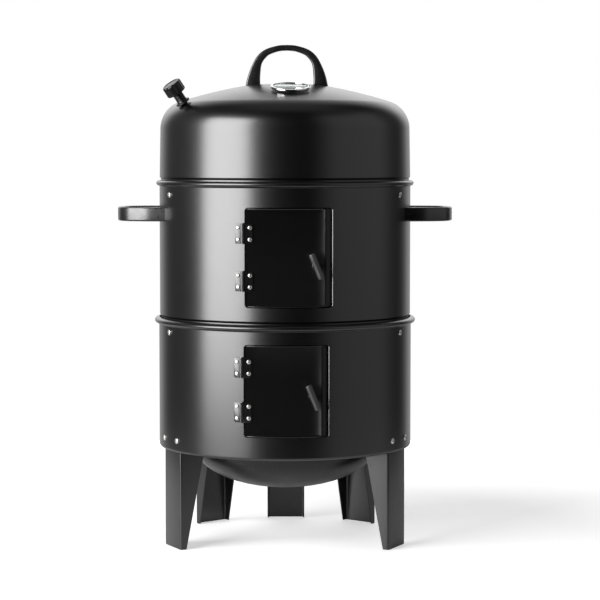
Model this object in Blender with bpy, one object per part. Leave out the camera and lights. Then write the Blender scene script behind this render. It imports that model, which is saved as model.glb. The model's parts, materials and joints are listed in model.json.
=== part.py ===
"""Vertical barrel smoker: two stacked tiers with doors, a domed lid, bowls, grates and channel legs.

Origin on the barrel axis at floor level, +Z up, the doors face -Y. Dimensions below are millimetres.
Angles round the barrel are measured from the front (-Y), positive towards +X.
"""

import math

import bmesh
import bpy
from mathutils import Matrix, Vector

# ------------------------------------------------------------------ driving dimensions (mm, degrees)
SHEET = 1.2
GAP = 0.3
SEG = 48

LOWER_R = 200.0
LOWER_BOTTOM = 151.0
LOWER_TOP = 356.4
LOWER_BEAD_R = 206.7
UPPER_R = 198.6
UPPER_BOTTOM = 342.0
UPPER_STEP = 358.6
UPPER_TOP = 571.8
UPPER_BEAD_R = 203.8
SKIRT_R = 196.6

LID_BOTTOM = 560.0
LID_SKIRT_R = 196.2
LID_STEP = 574.2
LID_R = 198.2
LID_SHOULDER_Z = 652.6
LID_SHOULDER_R = 45.0
LID_CROWN_SLOPE = 17.5
LID_CROWN_R = 782.0
LID_TOP_SLOPE = 9.7
LID_TOP_R = 140.0

LEG_ANGLES = {"leg_front_left": -63.8, "leg_front_right": 63.8, "leg_rear_left": -140.0,
              "leg_rear_right": 140.0, "leg_rear_centre": 180.0}
LEG_PLANE = 195.4
LEG_WIDTH = 62.0
LEG_SHEET = 2.0
LEG_DEPTH_TOP = 41.0
LEG_DEPTH_FOOT = 10.5
LEG_TOP = 195.5

LOWER_BRACKET_ANGLES = {"left": -63.0, "right": 63.0, "rear": 180.0}
UPPER_BRACKET_ANGLES = {"left": -63.3, "right": 63.3, "rear": 180.0}
BRACKET_WIDTH = 16.0
BRACKET_SHEET = 2.0
LEDGE = 22.0
LOWER_LEDGE_Z = 321.0
LOWER_BRACKET_TOP = 341.7
LOWER_SCREW_Z = 337.0
UPPER_LEDGE_Z = 540.0
UPPER_BRACKET_TOP = 559.7
UPPER_SCREW_Z = 550.0

LOWER_DOOR = {"x0": -61.4, "x1": 67.0, "z0": 185.5, "z1": 326.6, "r": LOWER_R, "hinge_x": -64.6,
              "hinge_z": (291.8, 224.1), "latch_x": 42.8, "latch_z": 247.4}
UPPER_DOOR = {"x0": -59.7, "x1": 72.4, "z0": 382.0, "z1": 533.0, "r": UPPER_R, "hinge_x": -62.6,
              "hinge_z": (493.9, 422.1), "latch_x": 47.7, "latch_z": 445.0}
CORNER_R = 5.5
DOOR_GAP = 1.3
DOOR_TURN = 4.4
HINGE_HEIGHT = 30.0
HINGE_LEAF = 13.0
HINGE_DOOR_LEAF = 15.0
PIN_R = 1.2
KNUCKLE_IN = 1.29
KNUCKLE_OUT = 2.3
PIN_OFFSET = 3.5
LATCH_LEAN = 22.5
LATCH_BAR_R = 5.0
LATCH_BAR_LENGTH = 40.0
LATCH_STAND = 16.0
LATCH_TONGUE = 36.0

HANDLE_WIDTH = 22.0
HANDLE_REACH = 64.4
SIDE_HANDLE_X = 264.6
SIDE_HANDLE_Z = 519.0
LID_HANDLE_TOP = 784.4
LID_HANDLE_X = 3.0

THERMO_R = 103.0
THERMO_ANGLE = 5.0
THERMO_CASE_R = 31.0
VENT_ANGLE = -62.0
VENT_R = 176.0
VENT_TILT = 36.0

BLACK = (0.018, 0.018, 0.019, 1.0)
MATT_BLACK = (0.022, 0.022, 0.022, 1.0)
ZINC = (0.72, 0.72, 0.70, 1.0)
ENAMEL = (0.02, 0.02, 0.022, 1.0)


# ------------------------------------------------------------------ helpers
for old in list(bpy.data.objects):
    bpy.data.objects.remove(old, do_unlink=True)


def material(name, colour, roughness, metallic):
    mat = bpy.data.materials.new(name)
    mat.use_nodes = True
    shader = next(n for n in mat.node_tree.nodes if n.type == "BSDF_PRINCIPLED")
    shader.inputs["Base Color"].default_value = colour
    shader.inputs["Roughness"].default_value = roughness
    shader.inputs["Metallic"].default_value = metallic
    return mat


def around(r, angle, z=0.0):
    """A point at radius r and an angle from the front."""
    a = math.radians(angle)
    return Vector((r * math.sin(a), -r * math.cos(a), z))


def local_frame(angle, centre):
    """Axes: X along the tangent, Y inwards to the axis, Z up, with its origin at centre."""
    a = math.radians(angle)
    tangent = Vector((math.cos(a), math.sin(a), 0.0))
    inward = Vector((-math.sin(a), math.cos(a), 0.0))
    up = Vector((0.0, 0.0, 1.0))
    m = Matrix((tangent, inward, up)).transposed().to_4x4()
    m.translation = centre
    return m


def axis_frame(z_dir, x_hint, centre):
    """A frame whose Z is z_dir and whose X is as near x_hint as it can be."""
    z = Vector(z_dir).normalized()
    x = (Vector(x_hint) - z * z.dot(Vector(x_hint))).normalized()
    y = z.cross(x)
    m = Matrix((x, y, z)).transposed().to_4x4()
    m.translation = centre
    return m


def empty(name, origin, parent=None):
    obj = bpy.data.objects.new(name, None)
    bpy.context.scene.collection.objects.link(obj)
    obj["origin_mm"] = list(origin)
    if parent is not None:
        obj.parent = parent
        origin = Vector(origin) - Vector(parent["origin_mm"])
    obj.location = Vector(origin) * 0.001
    return obj


def solid(name, verts, faces, mat=None, parent=None, origin=None, smooth=False):
    """A closed mesh object from points in mm in the assembly's frame."""
    base = Vector(origin) if origin is not None else (Vector(parent["origin_mm"]) if parent else Vector((0, 0, 0)))
    bm = bmesh.new()
    made = [bm.verts.new((Vector(v) - base) * 0.001) for v in verts]
    for face in faces:
        bm.faces.new([made[i] for i in face])
    bmesh.ops.recalc_face_normals(bm, faces=bm.faces)
    mesh = bpy.data.meshes.new(name)
    bm.to_mesh(mesh)
    bm.free()
    obj = bpy.data.objects.new(name, mesh)
    bpy.context.scene.collection.objects.link(obj)
    if parent is not None:
        obj.parent = parent
        obj.location = (base - Vector(parent["origin_mm"])) * 0.001
    else:
        obj.location = base * 0.001
    if mat is not None:
        mesh.materials.append(mat)
    if smooth:
        mesh.shade_smooth()
        mesh.set_sharp_from_angle(angle=math.radians(35))
    return obj


def lathe(profile, seg=SEG, frame=None):
    """Turns a closed outline of (radius, height) about Z. Points at radius 0 become one pole vertex."""
    verts, rings = [], []
    for r, z in profile:
        if r < 1e-6:
            rings.append([len(verts)] * seg)
            verts.append(Vector((0.0, 0.0, z)))
        else:
            rings.append(list(range(len(verts), len(verts) + seg)))
            verts += [around(r, 360.0 * k / seg, z) for k in range(seg)]
    faces = []
    for a, b in zip(rings, rings[1:] + rings[:1]):
        for k in range(seg):
            quad = [a[k], a[(k + 1) % seg], b[(k + 1) % seg], b[k]]
            quad = [v for i, v in enumerate(quad) if v not in quad[:i]]
            if len(quad) > 2:
                faces.append(quad)
    if frame is not None:
        verts = [frame @ v for v in verts]
    return verts, faces


def sheet(outer, thickness, side=1.0):
    """The closed outline of a sheet whose outer face follows the open line `outer`, going up its outside."""
    pts = [Vector(p) for p in outer]
    inner = []
    for i, p in enumerate(pts):
        normals = []
        for a, b in ((i - 1, i), (i, i + 1)):
            if a >= 0 and b < len(pts):
                d = (pts[b] - pts[a]).normalized()
                normals.append(Vector((-d.y, d.x)) * side)
        n = sum(normals, Vector((0.0, 0.0))).normalized()
        q = p + n * thickness / max(0.35, n.dot(normals[0]))
        if p.x < 1e-6:
            q.x = 0.0
        inner.append(q)
    return [tuple(p) for p in pts] + [tuple(q) for q in reversed(inner)]


def prism(outline, low, high, frame=None):
    """Extrudes a closed 2D outline (in the frame's XY) from low to high along the frame's Z."""
    n = len(outline)
    verts = [Vector((x, y, low)) for x, y in outline] + [Vector((x, y, high)) for x, y in outline]
    faces = [list(range(n))[::-1], list(range(n, 2 * n))]
    faces += [[k, (k + 1) % n, n + (k + 1) % n, n + k] for k in range(n)]
    if frame is not None:
        verts = [frame @ v for v in verts]
    return verts, faces


def block(lo, hi, frame=None):
    return prism([(lo[0], lo[1]), (hi[0], lo[1]), (hi[0], hi[1]), (lo[0], hi[1])], lo[2], hi[2], frame)


def rod(r, low, high, frame=None, seg=16, chamfer=0.0):
    if chamfer:
        profile = [(0, low), (r - chamfer, low), (r, low + chamfer), (r, high - chamfer), (r - chamfer, high), (0, high)]
    else:
        profile = [(0, low), (r, low), (r, high), (0, high)]
    # the pole-to-pole line closes on itself, so it makes no face
    verts, rings = [], []
    for rr, z in profile:
        if rr < 1e-6:
            rings.append([len(verts)])
            verts.append(Vector((0, 0, z)))
        else:
            rings.append(list(range(len(verts), len(verts) + seg)))
            verts += [around(rr, 360.0 * k / seg, z) for k in range(seg)]
    faces = []
    for a, b in zip(rings, rings[1:]):
        if len(a) == 1:
            faces.append(list(b))
        elif len(b) == 1:
            faces.append(list(a))
        else:
            faces += [[a[k], a[(k + 1) % seg], b[(k + 1) % seg], b[k]] for k in range(seg)]
    used = sorted({i for f in faces for i in f})
    index = {v: i for i, v in enumerate(used)}
    verts = [verts[i] for i in used]
    faces = [[index[i] for i in f] for f in faces]
    if frame is not None:
        verts = [frame @ v for v in verts]
    return verts, faces


def join(*shapes):
    verts, faces = [], []
    for v, f in shapes:
        faces += [[i + len(verts) for i in face] for face in f]
        verts += list(v)
    return verts, faces


def cutter(name, shape):
    obj = solid(name, *shape)
    obj.hide_render = True
    obj.display_type = "WIRE"
    return obj


def boolean(obj, other, operation="DIFFERENCE"):
    mod = obj.modifiers.new(other.name, "BOOLEAN")
    mod.operation = operation
    mod.solver = "EXACT"
    mod.object = other


def curve_through(points, steps):
    """Catmull-Rom points through a short list of design points."""
    pts = [Vector(p) for p in points]
    ext = [pts[0] * 2 - pts[1]] + pts + [pts[-1] * 2 - pts[-2]]
    out = []
    for i in range(1, len(ext) - 2):
        a, b, c, d = ext[i - 1], ext[i], ext[i + 1], ext[i + 2]
        for s in range(steps):
            t = s / steps
            out.append(0.5 * ((2 * b) + (c - a) * t + (2 * a - 5 * b + 4 * c - d) * t * t
                              + (3 * b - a - 3 * c + d) * t ** 3))
    return out + [pts[-1]]


paint = material("black_paint", BLACK, 0.42, 0.0)


# ------------------------------------------------------------------ bodies (empties on the joint axes)
root = empty("lower_tier", (0, 0, 0))
upper = empty("upper_tier", (0, 0, UPPER_BOTTOM), root)
lid = empty("lid", (0, 0, LID_BOTTOM), upper)


# ------------------------------------------------------------------ shells
def rounded_rect(x0, x1, z0, z1, r, arc=4, top=8):
    """A loop of (x, z) with round corners, with extra points along its top and bottom."""
    loop = []
    corners = [(x1 - r, z1 - r, 0), (x0 + r, z1 - r, 90), (x0 + r, z0 + r, 180), (x1 - r, z0 + r, 270)]
    for n, (cx, cz, start) in enumerate(corners):
        for k in range(arc + 1):
            a = math.radians(start + 90.0 * k / arc)
            loop.append((cx + r * math.cos(a), cz + r * math.sin(a)))
        if n in (0, 2):
            xa, xb = (x1 - r, x0 + r) if n == 0 else (x0 + r, x1 - r)
            z = z1 if n == 0 else z0
            loop += [(xa + (xb - xa) * k / top, z) for k in range(1, top)]
    return loop


def opening_cutter(name, door):
    loop = rounded_rect(door["x0"], door["x1"], door["z0"], door["z1"], CORNER_R, top=1)
    n = len(loop)
    verts = [Vector((x, -230.0, z)) for x, z in loop] + [Vector((x, -150.0, z)) for x, z in loop]
    faces = [list(range(n)), list(range(n, 2 * n))[::-1]]
    faces += [[k, n + k, n + (k + 1) % n, (k + 1) % n] for k in range(n)]
    return cutter(name, (verts, faces))


def screw_holes(name, angles, z, r_plane, hole=3.0):
    shapes = [rod(hole, -12, 12, axis_frame(around(1, a), (0, 0, 1), around(r_plane, a, z)), seg=12)
              for a in angles.values()]
    return cutter(name, join(*shapes))


lower_profile = sheet([(193.5, LOWER_BOTTOM), (197.2, LOWER_BOTTOM + 0.9), (199.3, LOWER_BOTTOM + 3.6),
                       (LOWER_R, LOWER_BOTTOM + 8.0), (LOWER_R, LOWER_TOP - 10.2),
                       (LOWER_BEAD_R - 2.9, LOWER_TOP - 9.2), (LOWER_BEAD_R, LOWER_TOP - 5.0),
                       (LOWER_BEAD_R - 2.9, LOWER_TOP - 0.8), (199.6, LOWER_TOP)], SHEET)
lower_shell = solid("lower_shell", *lathe(lower_profile), material("lower_shell_paint", BLACK, 0.42, 0.0), root, smooth=True)
boolean(lower_shell, opening_cutter("cut_lower_opening", LOWER_DOOR))
boolean(lower_shell, screw_holes("cut_lower_screws", LOWER_BRACKET_ANGLES, LOWER_SCREW_Z, LOWER_R))
leg_slots = [block((-LEG_WIDTH / 2 - GAP, -GAP, -10), (LEG_WIDTH / 2 + GAP, 8.0, 12),
                   local_frame(a, around(LEG_PLANE, a, LOWER_BOTTOM))) for a in LEG_ANGLES.values()]
boolean(lower_shell, cutter("cut_leg_slots", join(*leg_slots)))

upper_profile = sheet([(SKIRT_R, UPPER_BOTTOM), (SKIRT_R, UPPER_STEP), (UPPER_R, UPPER_STEP + 2.8),
                       (UPPER_R, UPPER_TOP - 9.0), (UPPER_BEAD_R - 2.4, UPPER_TOP - 8.2),
                       (UPPER_BEAD_R, UPPER_TOP - 4.4), (UPPER_BEAD_R - 2.4, UPPER_TOP - 0.6),
                       (198.2, UPPER_TOP)], SHEET)
upper_shell = solid("upper_shell", *lathe(upper_profile), material("upper_shell_paint", BLACK, 0.42, 0.0), upper, smooth=True)
boolean(upper_shell, opening_cutter("cut_upper_opening", UPPER_DOOR))
boolean(upper_shell, screw_holes("cut_upper_screws", UPPER_BRACKET_ANGLES, UPPER_SCREW_Z, UPPER_R))


def lid_line():
    """The lid's outside from the skirt's bottom edge to the top's centre."""
    line = [(LID_SKIRT_R, LID_BOTTOM), (LID_SKIRT_R, LID_STEP), (LID_R, LID_STEP + 2.8)]
    top_r = LID_R - 1.3
    centre_r = top_r - LID_SHOULDER_R
    turns = 5
    for k in range(turns + 1):
        a = math.radians((90.0 - LID_CROWN_SLOPE) * k / turns)
        line.append((centre_r + LID_SHOULDER_R * math.cos(a), LID_SHOULDER_Z + LID_SHOULDER_R * math.sin(a)))
    # the crown is a shallow arc that meets a tighter one round the flat top
    steps = 4
    r_c = line[-1][0] - LID_CROWN_R * math.sin(math.radians(LID_CROWN_SLOPE))
    z_c = line[-1][1] - LID_CROWN_R * math.cos(math.radians(LID_CROWN_SLOPE))
    for k in range(1, steps + 1):
        a = math.radians(LID_CROWN_SLOPE + (LID_TOP_SLOPE - LID_CROWN_SLOPE) * k / steps)
        line.append((r_c + LID_CROWN_R * math.sin(a), z_c + LID_CROWN_R * math.cos(a)))
    r, z = line[-1]
    z_top = z + LID_TOP_R * (1.0 - math.cos(math.radians(LID_TOP_SLOPE)))
    line.append((r - LID_TOP_R * math.sin(math.radians(LID_TOP_SLOPE)), z_top))
    line.append((0.0, z_top))
    return line


LID_LINE = lid_line()


def lid_height(r):
    """Height and unit normal (radial, up) of the lid's outside at radius r, on its crown."""
    for (r1, z1), (r0, z0) in zip(LID_LINE[3:], LID_LINE[4:]):
        if r0 <= r <= r1:
            z = z0 + (z1 - z0) * (r - r0) / (r1 - r0)
            n = Vector((z0 - z1, r1 - r0)).normalized()
            return z, n
    return LID_LINE[-1][1], Vector((0.0, 1.0))


lid_shell = solid("lid_shell", *lathe(sheet(LID_LINE, SHEET)), material("lid_paint", BLACK, 0.42, 0.0), lid, smooth=True)

# ------------------------------------------------------------------ legs: folded channels, tapered side flanges
for name, angle in LEG_ANGLES.items():
    w, t = LEG_WIDTH / 2, LEG_SHEET
    verts, n = [], 8
    for z, d in ((0.0, LEG_DEPTH_FOOT), (LOWER_BOTTOM, LEG_DEPTH_TOP), (LEG_TOP, LEG_DEPTH_TOP)):
        for x, y in ((-w, 0), (w, 0), (w, d), (w - t, d), (w - t, t), (-w + t, t), (-w + t, d), (-w, d)):
            verts.append(local_frame(angle, around(LEG_PLANE, angle)) @ Vector((x, y, z)))
    faces = [[0, 1, 4, 5], [1, 2, 3, 4], [0, 5, 6, 7]]
    faces = [f[::-1] for f in faces] + [[i + 2 * n for i in f] for f in faces]
    for ring in (0, n):
        faces += [[ring + k, ring + (k + 1) % n, ring + n + (k + 1) % n, ring + n + k] for k in range(n)]
    solid(name, verts, faces, material(name + "_paint", BLACK, 0.45, 0.0), root)


# ------------------------------------------------------------------ brackets and their screws
def brackets(tier, parent, angles, shell_r, ledge_z, top_z, screw_z):
    plane = shell_r - SHEET - 0.9
    for side, angle in angles.items():
        frame = local_frame(angle, around(plane, angle))
        w, t = BRACKET_WIDTH / 2, BRACKET_SHEET
        outline = [(0, ledge_z), (LEDGE, ledge_z), (LEDGE, ledge_z + t), (t, ledge_z + t), (t, top_z), (0, top_z)]
        n = len(outline)
        verts = [frame @ Vector((-w, y, z)) for y, z in outline] + [frame @ Vector((w, y, z)) for y, z in outline]
        faces = [list(range(n)), list(range(n, 2 * n))[::-1]]
        faces += [[k, n + k, n + (k + 1) % n, (k + 1) % n] for k in range(n)]
        piece = solid(tier + "_bracket_" + side, verts, faces, material(tier + "_bracket_" + side, MATT_BLACK, 0.5, 0.3), parent)
        hole = rod(3.0, -8, 8, axis_frame(around(1, angle), (0, 0, 1), around(plane, angle, screw_z)), seg=12)
        boolean(piece, cutter("cut_" + tier + "_bracket_" + side, hole))
        # a pan-head screw: shank inwards through shell and bracket, head outside
        out = axis_frame(around(1, angle), (0, 0, 1), around(0, angle, screw_z))
        s, h = shell_r, 4.6
        profile = [(0, s - 8.0), (2.5, s - 8.0), (2.5, s + 0.35), (h, s + 0.35), (h, s + 1.6), (3.0, s + 2.8), (0, s + 2.8)]
        solid(tier + "_bracket_screw_" + side, *lathe_open(profile, 12, out),
              material(tier + "_screw_" + side, ZINC, 0.28, 1.0), parent, smooth=True)


def lathe_open(profile, seg, frame=None):
    """Turns an outline that starts and ends on the axis."""
    verts, rings = [], []
    for r, z in profile:
        if r < 1e-6:
            rings.append([len(verts)])
            verts.append(Vector((0, 0, z)))
        else:
            rings.append(list(range(len(verts), len(verts) + seg)))
            verts += [around(r, 360.0 * k / seg, z) for k in range(seg)]
    faces = []
    for a, b in zip(rings, rings[1:]):
        for k in range(seg):
            m = (k + 1) % seg
            quad = [a[k % len(a)], a[m % len(a)], b[m % len(b)], b[k % len(b)]]
            quad = [v for i, v in enumerate(quad) if v not in quad[:i]]
            if len(quad) > 2:
                faces.append(quad)
    if frame is not None:
        verts = [frame @ v for v in verts]
    return verts, faces


brackets("lower", root, LOWER_BRACKET_ANGLES, LOWER_R, LOWER_LEDGE_Z, LOWER_BRACKET_TOP, LOWER_SCREW_Z)
brackets("upper", upper, UPPER_BRACKET_ANGLES, UPPER_R, UPPER_LEDGE_Z, UPPER_BRACKET_TOP, UPPER_SCREW_Z)

# ------------------------------------------------------------------ bowls
BOWL_SEG = 36
charcoal = empty("charcoal_bowl_lift", (0, 0, LEG_TOP), root)
BOWL_A, BOWL_B, BOWL_MID, BOWL_FLOOR = 145.0, 66.0, 150.0, 87.5
line = [(0.0, BOWL_FLOOR)]
start = math.asin(min(1.0, (BOWL_MID - BOWL_FLOOR) / BOWL_B))
for k in range(5):
    a = start * (1 - k / 4)
    line.append((BOWL_A * math.cos(a), BOWL_MID - BOWL_B * math.sin(a)))
line += [(150.0, LEG_TOP + GAP), (172.0, LEG_TOP + GAP)]
solid("charcoal_bowl", *lathe_open(sheet(line, SHEET), BOWL_SEG), material("charcoal_bowl_enamel", ENAMEL, 0.35, 0.0),
      charcoal, smooth=True)

water = empty("water_bowl_lift", (0, 0, LOWER_LEDGE_Z), root)
rim_z = LOWER_LEDGE_Z + BRACKET_SHEET + GAP
line = [(0.0, rim_z - 60.0), (156.0, rim_z - 60.0), (158.2, rim_z - 57.4), (169.0, rim_z),
        (181.0, rim_z)]
solid("water_bowl", *lathe_open(sheet(line, SHEET), BOWL_SEG), material("water_bowl_enamel", ENAMEL, 0.3, 0.0), water, smooth=True)


# ------------------------------------------------------------------ grates: a flat ring with bars across
def grate(name, parent, r, z, thick=4.0, bars=13):
    ring = lathe([(r - 5.0, z), (r, z), (r, z + thick), (r - 5.0, z + thick)], 40)
    obj = solid(name, *ring, material(name + "_steel", (0.42, 0.42, 0.41, 1.0), 0.35, 1.0), parent)
    shapes = []
    pitch = 2.0 * (r - 8.0) / (bars + 1)
    for k in range(bars):
        x = -(r - 8.0) + pitch * (k + 1)
        half = math.sqrt((r - 2.5) ** 2 - x * x) - 0.3
        shapes.append(block((x - 1.7, -half, z + 0.2), (x + 1.7, half, z + thick - 0.2)))
    joined = cutter("add_" + name + "_bars", join(*shapes))
    boolean(obj, joined, "UNION")
    return obj


lower_lift = empty("lower_grate_lift", (0, 0, rim_z + SHEET + GAP), water)
grate("lower_grate", lower_lift, 178.0, rim_z + SHEET + GAP)
upper_lift = empty("upper_grate_lift", (0, 0, UPPER_LEDGE_Z + BRACKET_SHEET + GAP), upper)
grate("upper_grate", upper_lift, 180.0, UPPER_LEDGE_Z + BRACKET_SHEET + GAP)


# ------------------------------------------------------------------ doors, hinges, latches
def arc_y(x, r):
    return -math.sqrt(r * r - x * x)


def hinge(tier, which, door, z_mid, axis_xy, frame_parent, door_parent):
    """Two leaves and a pin. The frame leaf has the end knuckles, the door leaf the middle one."""
    r, k = door["r"], Vector(axis_xy)
    half = HINGE_HEIGHT / 2
    mid = 5.6
    t = 1.1

    def ring_and_plate(plate, far):
        """Outline of a knuckle ring, open by a slit, joined to a plate that runs to `far` and back."""
        near_out, near_in, far_in, far_out = plate
        a_out = math.atan2((near_out - k).y, (near_out - k).x)
        a_in = math.atan2((near_in - k).y, (near_in - k).x)
        delta = (a_out - a_in) % (2 * math.pi)
        direction = 1.0 if delta < math.pi else -1.0
        span = 2 * math.pi - 0.9
        steps = 10
        outer = [k + Vector((math.cos(a_out + direction * span * s / steps),
                             math.sin(a_out + direction * span * s / steps))) * KNUCKLE_OUT for s in range(steps + 1)]
        inner = [k + Vector((math.cos(a_out + direction * span * s / steps),
                             math.sin(a_out + direction * span * s / steps))) * KNUCKLE_IN for s in range(steps + 1)][::-1]
        return [tuple(far_out)] + [tuple(p) for p in outer] + [tuple(p) for p in inner] + [tuple(near_in), tuple(far_in)]

    # frame leaf: a plate tangent to the shell, left of the knuckle
    angle = math.degrees(math.atan2(k.x, -k.y)) - 2.35
    tangent = Vector((math.cos(math.radians(angle)), math.sin(math.radians(angle))))
    radial = Vector((math.sin(math.radians(angle)), -math.cos(math.radians(angle))))
    base = radial * (r + 0.38)
    s0 = (k - base).dot(tangent) - 0.9
    s1 = s0 - HINGE_LEAF + 0.9
    near_in, far_in = base + tangent * s0, base + tangent * s1
    near_out, far_out = near_in + radial * t, far_in + radial * t
    a = (near_out - k).normalized() * KNUCKLE_OUT
    outline = ring_and_plate((k + a, near_in, far_in, far_out), far_out)
    name = "%s_hinge_%s_frame_leaf" % (tier, which)
    leaf = solid(name, *prism(outline, z_mid - half, z_mid + half), material(name, MATT_BLACK, 0.45, 0.2), frame_parent)
    boolean(leaf, cutter("cut_" + name, block((k.x - 2.9, k.y - 2.9, z_mid - mid - GAP), (k.x + 2.9, k.y + 2.9, z_mid + mid + GAP))))

    # door leaf: a plate along the door's floor, right of the knuckle
    turn = math.radians(DOOR_TURN)
    along = Vector((math.cos(turn), math.sin(turn)))
    out = Vector((math.sin(turn), -math.cos(turn)))
    start_x = door["x0"] + DOOR_GAP
    floor0 = Vector((start_x, arc_y(start_x, r) + 0.3))
    lift = 0.75
    s0 = (k - floor0).dot(along) + 0.9
    s1 = s0 + HINGE_DOOR_LEAF - 0.9
    near_in, far_in = floor0 + along * s0 + out * lift, floor0 + along * s1 + out * lift
    far_out = far_in + out * t
    near_out = near_in + out * t
    a = (near_out - k).normalized() * KNUCKLE_OUT
    outline = ring_and_plate((k + a, near_in, far_in, far_out), far_out)
    name = "%s_hinge_%s_door_leaf" % (tier, which)
    leaf = solid(name, *prism(outline, z_mid - half, z_mid + half), material(name, MATT_BLACK, 0.45, 0.2), door_parent)
    ends = [block((k.x - 2.9, k.y - 2.9, lo), (k.x + 2.9, k.y + 2.9, hi))
            for lo, hi in ((z_mid - half - 1, z_mid - mid), (z_mid + mid, z_mid + half + 1))]
    boolean(leaf, cutter("cut_" + name, join(*ends)))

    name = "%s_hinge_%s_pin" % (tier, which)
    frame = Matrix.Translation((k.x, k.y, z_mid))
    profile = [(0, -half - 0.6), (PIN_R, -half - 0.6), (PIN_R, half + 0.35), (2.0, half + 0.35), (1.6, half + 1.3), (0, half + 1.3)]
    solid(name, *lathe_open(profile, 12, frame), material(name, (0.3, 0.3, 0.3, 1), 0.35, 1.0), frame_parent, smooth=True)


def door_set(tier, door, parent):
    r = door["r"]
    pin_r = r + PIN_OFFSET
    k = Vector((door["hinge_x"], -math.sqrt(pin_r ** 2 - door["hinge_x"] ** 2)))
    pivot = empty(tier + "_door_hinge", (k.x, k.y, (door["z0"] + door["z1"]) / 2), parent)
    turn = math.radians(DOOR_TURN)
    x_start = door["x0"] + DOOR_GAP
    y_start = arc_y(x_start, r) + 0.3

    def floor_y(x, depth=0.0):
        return y_start + (x - x_start) * math.tan(turn) + depth / math.cos(turn)

    outer = rounded_rect(door["x0"] + DOOR_GAP, door["x1"] - DOOR_GAP, door["z0"] + DOOR_GAP, door["z1"] - DOOR_GAP,
                         CORNER_R - DOOR_GAP)
    wall = 1.3
    inner = rounded_rect(door["x0"] + DOOR_GAP + wall, door["x1"] - DOOR_GAP - wall, door["z0"] + DOOR_GAP + wall,
                         door["z1"] - DOOR_GAP - wall, CORNER_R - DOOR_GAP - wall)
    rim = r - 0.1
    verts = [Vector((x, arc_y(x, rim), z)) for x, z in outer]
    verts += [Vector((x, min(arc_y(x, rim), floor_y(x) - 0.12), z)) for x, z in inner]
    verts += [Vector((x, floor_y(x), z)) for x, z in inner]
    verts += [Vector((x, floor_y(x, SHEET), z)) for x, z in outer]
    n = len(outer)
    faces = [list(range(2 * n, 3 * n)), list(range(3 * n, 4 * n))[::-1]]
    for a, b in ((0, n), (n, 2 * n), (3 * n, 0)):
        faces += [[a + i, a + (i + 1) % n, b + (i + 1) % n, b + i] for i in range(n)]
    name = tier + "_door"
    panel = solid(name, verts, faces, material(name + "_paint", BLACK, 0.4, 0.0), pivot)

    out = Vector((math.sin(turn), -math.cos(turn), 0.0))
    foot = Vector((door["latch_x"], floor_y(door["latch_x"]), door["latch_z"]))
    latch = empty(tier + "_latch", tuple(foot), pivot)
    lean = math.radians(LATCH_LEAN)
    side = Vector((0, 0, 1)).cross(out) * -1.0
    side = side if side.x > 0 else -side
    bar_dir = Vector((0, 0, 1)) * math.cos(lean) - side * math.sin(lean)
    frame = axis_frame(out, bar_dir, foot)
    boolean(panel, cutter("cut_" + name + "_spindle", rod(3.4, -6, 6, frame, seg=16)))
    centre = foot + out * LATCH_STAND
    solid(tier + "_latch_bar", *rod(LATCH_BAR_R, -LATCH_BAR_LENGTH / 2, LATCH_BAR_LENGTH / 2,
                                    axis_frame(bar_dir, out, centre), 20, 0.5),
          material(tier + "_latch_bar", BLACK, 0.4, 0.0), latch, smooth=True)
    solid(tier + "_latch_spindle", *rod(3.0, -(SHEET + 0.9), LATCH_STAND - LATCH_BAR_R - GAP, frame, 16),
          material(tier + "_latch_spindle", MATT_BLACK, 0.4, 0.3), latch, smooth=True)
    d0 = -(SHEET + 0.9 + GAP)
    w = 6.0
    solid(tier + "_latch_tongue", *prism([(6.0, -w), (6.0, w), (-LATCH_TONGUE + 3, w), (-LATCH_TONGUE, w - 3), (-LATCH_TONGUE, -w + 3),
                                         (-LATCH_TONGUE + 3, -w)], d0 - 2.0, d0, frame),
          material(tier + "_latch_tongue", (0.35, 0.35, 0.35, 1.0), 0.4, 1.0), latch)

    for which, z in zip(("top", "bottom"), door["hinge_z"]):
        hinge(tier, which, door, z, k, parent, pivot)


door_set("lower", LOWER_DOOR, root)
door_set("upper", UPPER_DOOR, upper)


# ------------------------------------------------------------------ handles: three alike moulded arches
def arch(foot, steps=3):
    """The outline (along, outward) of a handle, flared at the feet. Outward 0 is HANDLE_REACH below its top.

    foot(along) is the height of the surface that the feet stand on.
    """
    def half(sign):
        outer = curve_through([(65.0, foot(sign * 65.0)), (61.5, 15.0), (55.8, 30.5), (46.5, 47.0), (33.5, 57.4),
                               (14.5, 63.3), (0.0, HANDLE_REACH)], steps)
        inner = curve_through([(42.0, foot(sign * 42.0)), (42.0, 16.0), (39.6, 35.0), (31.5, 46.5), (19.0, 53.3),
                               (0.0, 55.8)], steps)
        sole = [(sign * u, foot(sign * u)) for u in (59.0, 53.5, 48.0)]
        return [(sign * p.x, p.y) for p in outer], [(sign * p.x, p.y) for p in inner], sole

    out_r, in_r, sole_r = half(1.0)
    out_l, in_l, sole_l = half(-1.0)
    return out_r + out_l[-2::-1] + sole_l + in_l + in_r[-2::-1] + sole_r[::-1]


touch = UPPER_R + 0.45
base_x = SIDE_HANDLE_X - HANDLE_REACH
outline = arch(lambda u: math.sqrt(touch ** 2 - u * u) - base_x)
for side, sign in (("left", -1.0), ("right", 1.0)):
    pts = [(sign * (base_x + h), u) for u, h in outline]
    solid("side_handle_" + side, *prism(pts, SIDE_HANDLE_Z - HANDLE_WIDTH / 2, SIDE_HANDLE_Z + HANDLE_WIDTH / 2),
          material("side_handle_" + side, MATT_BLACK, 0.4, 0.0), upper)

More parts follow.
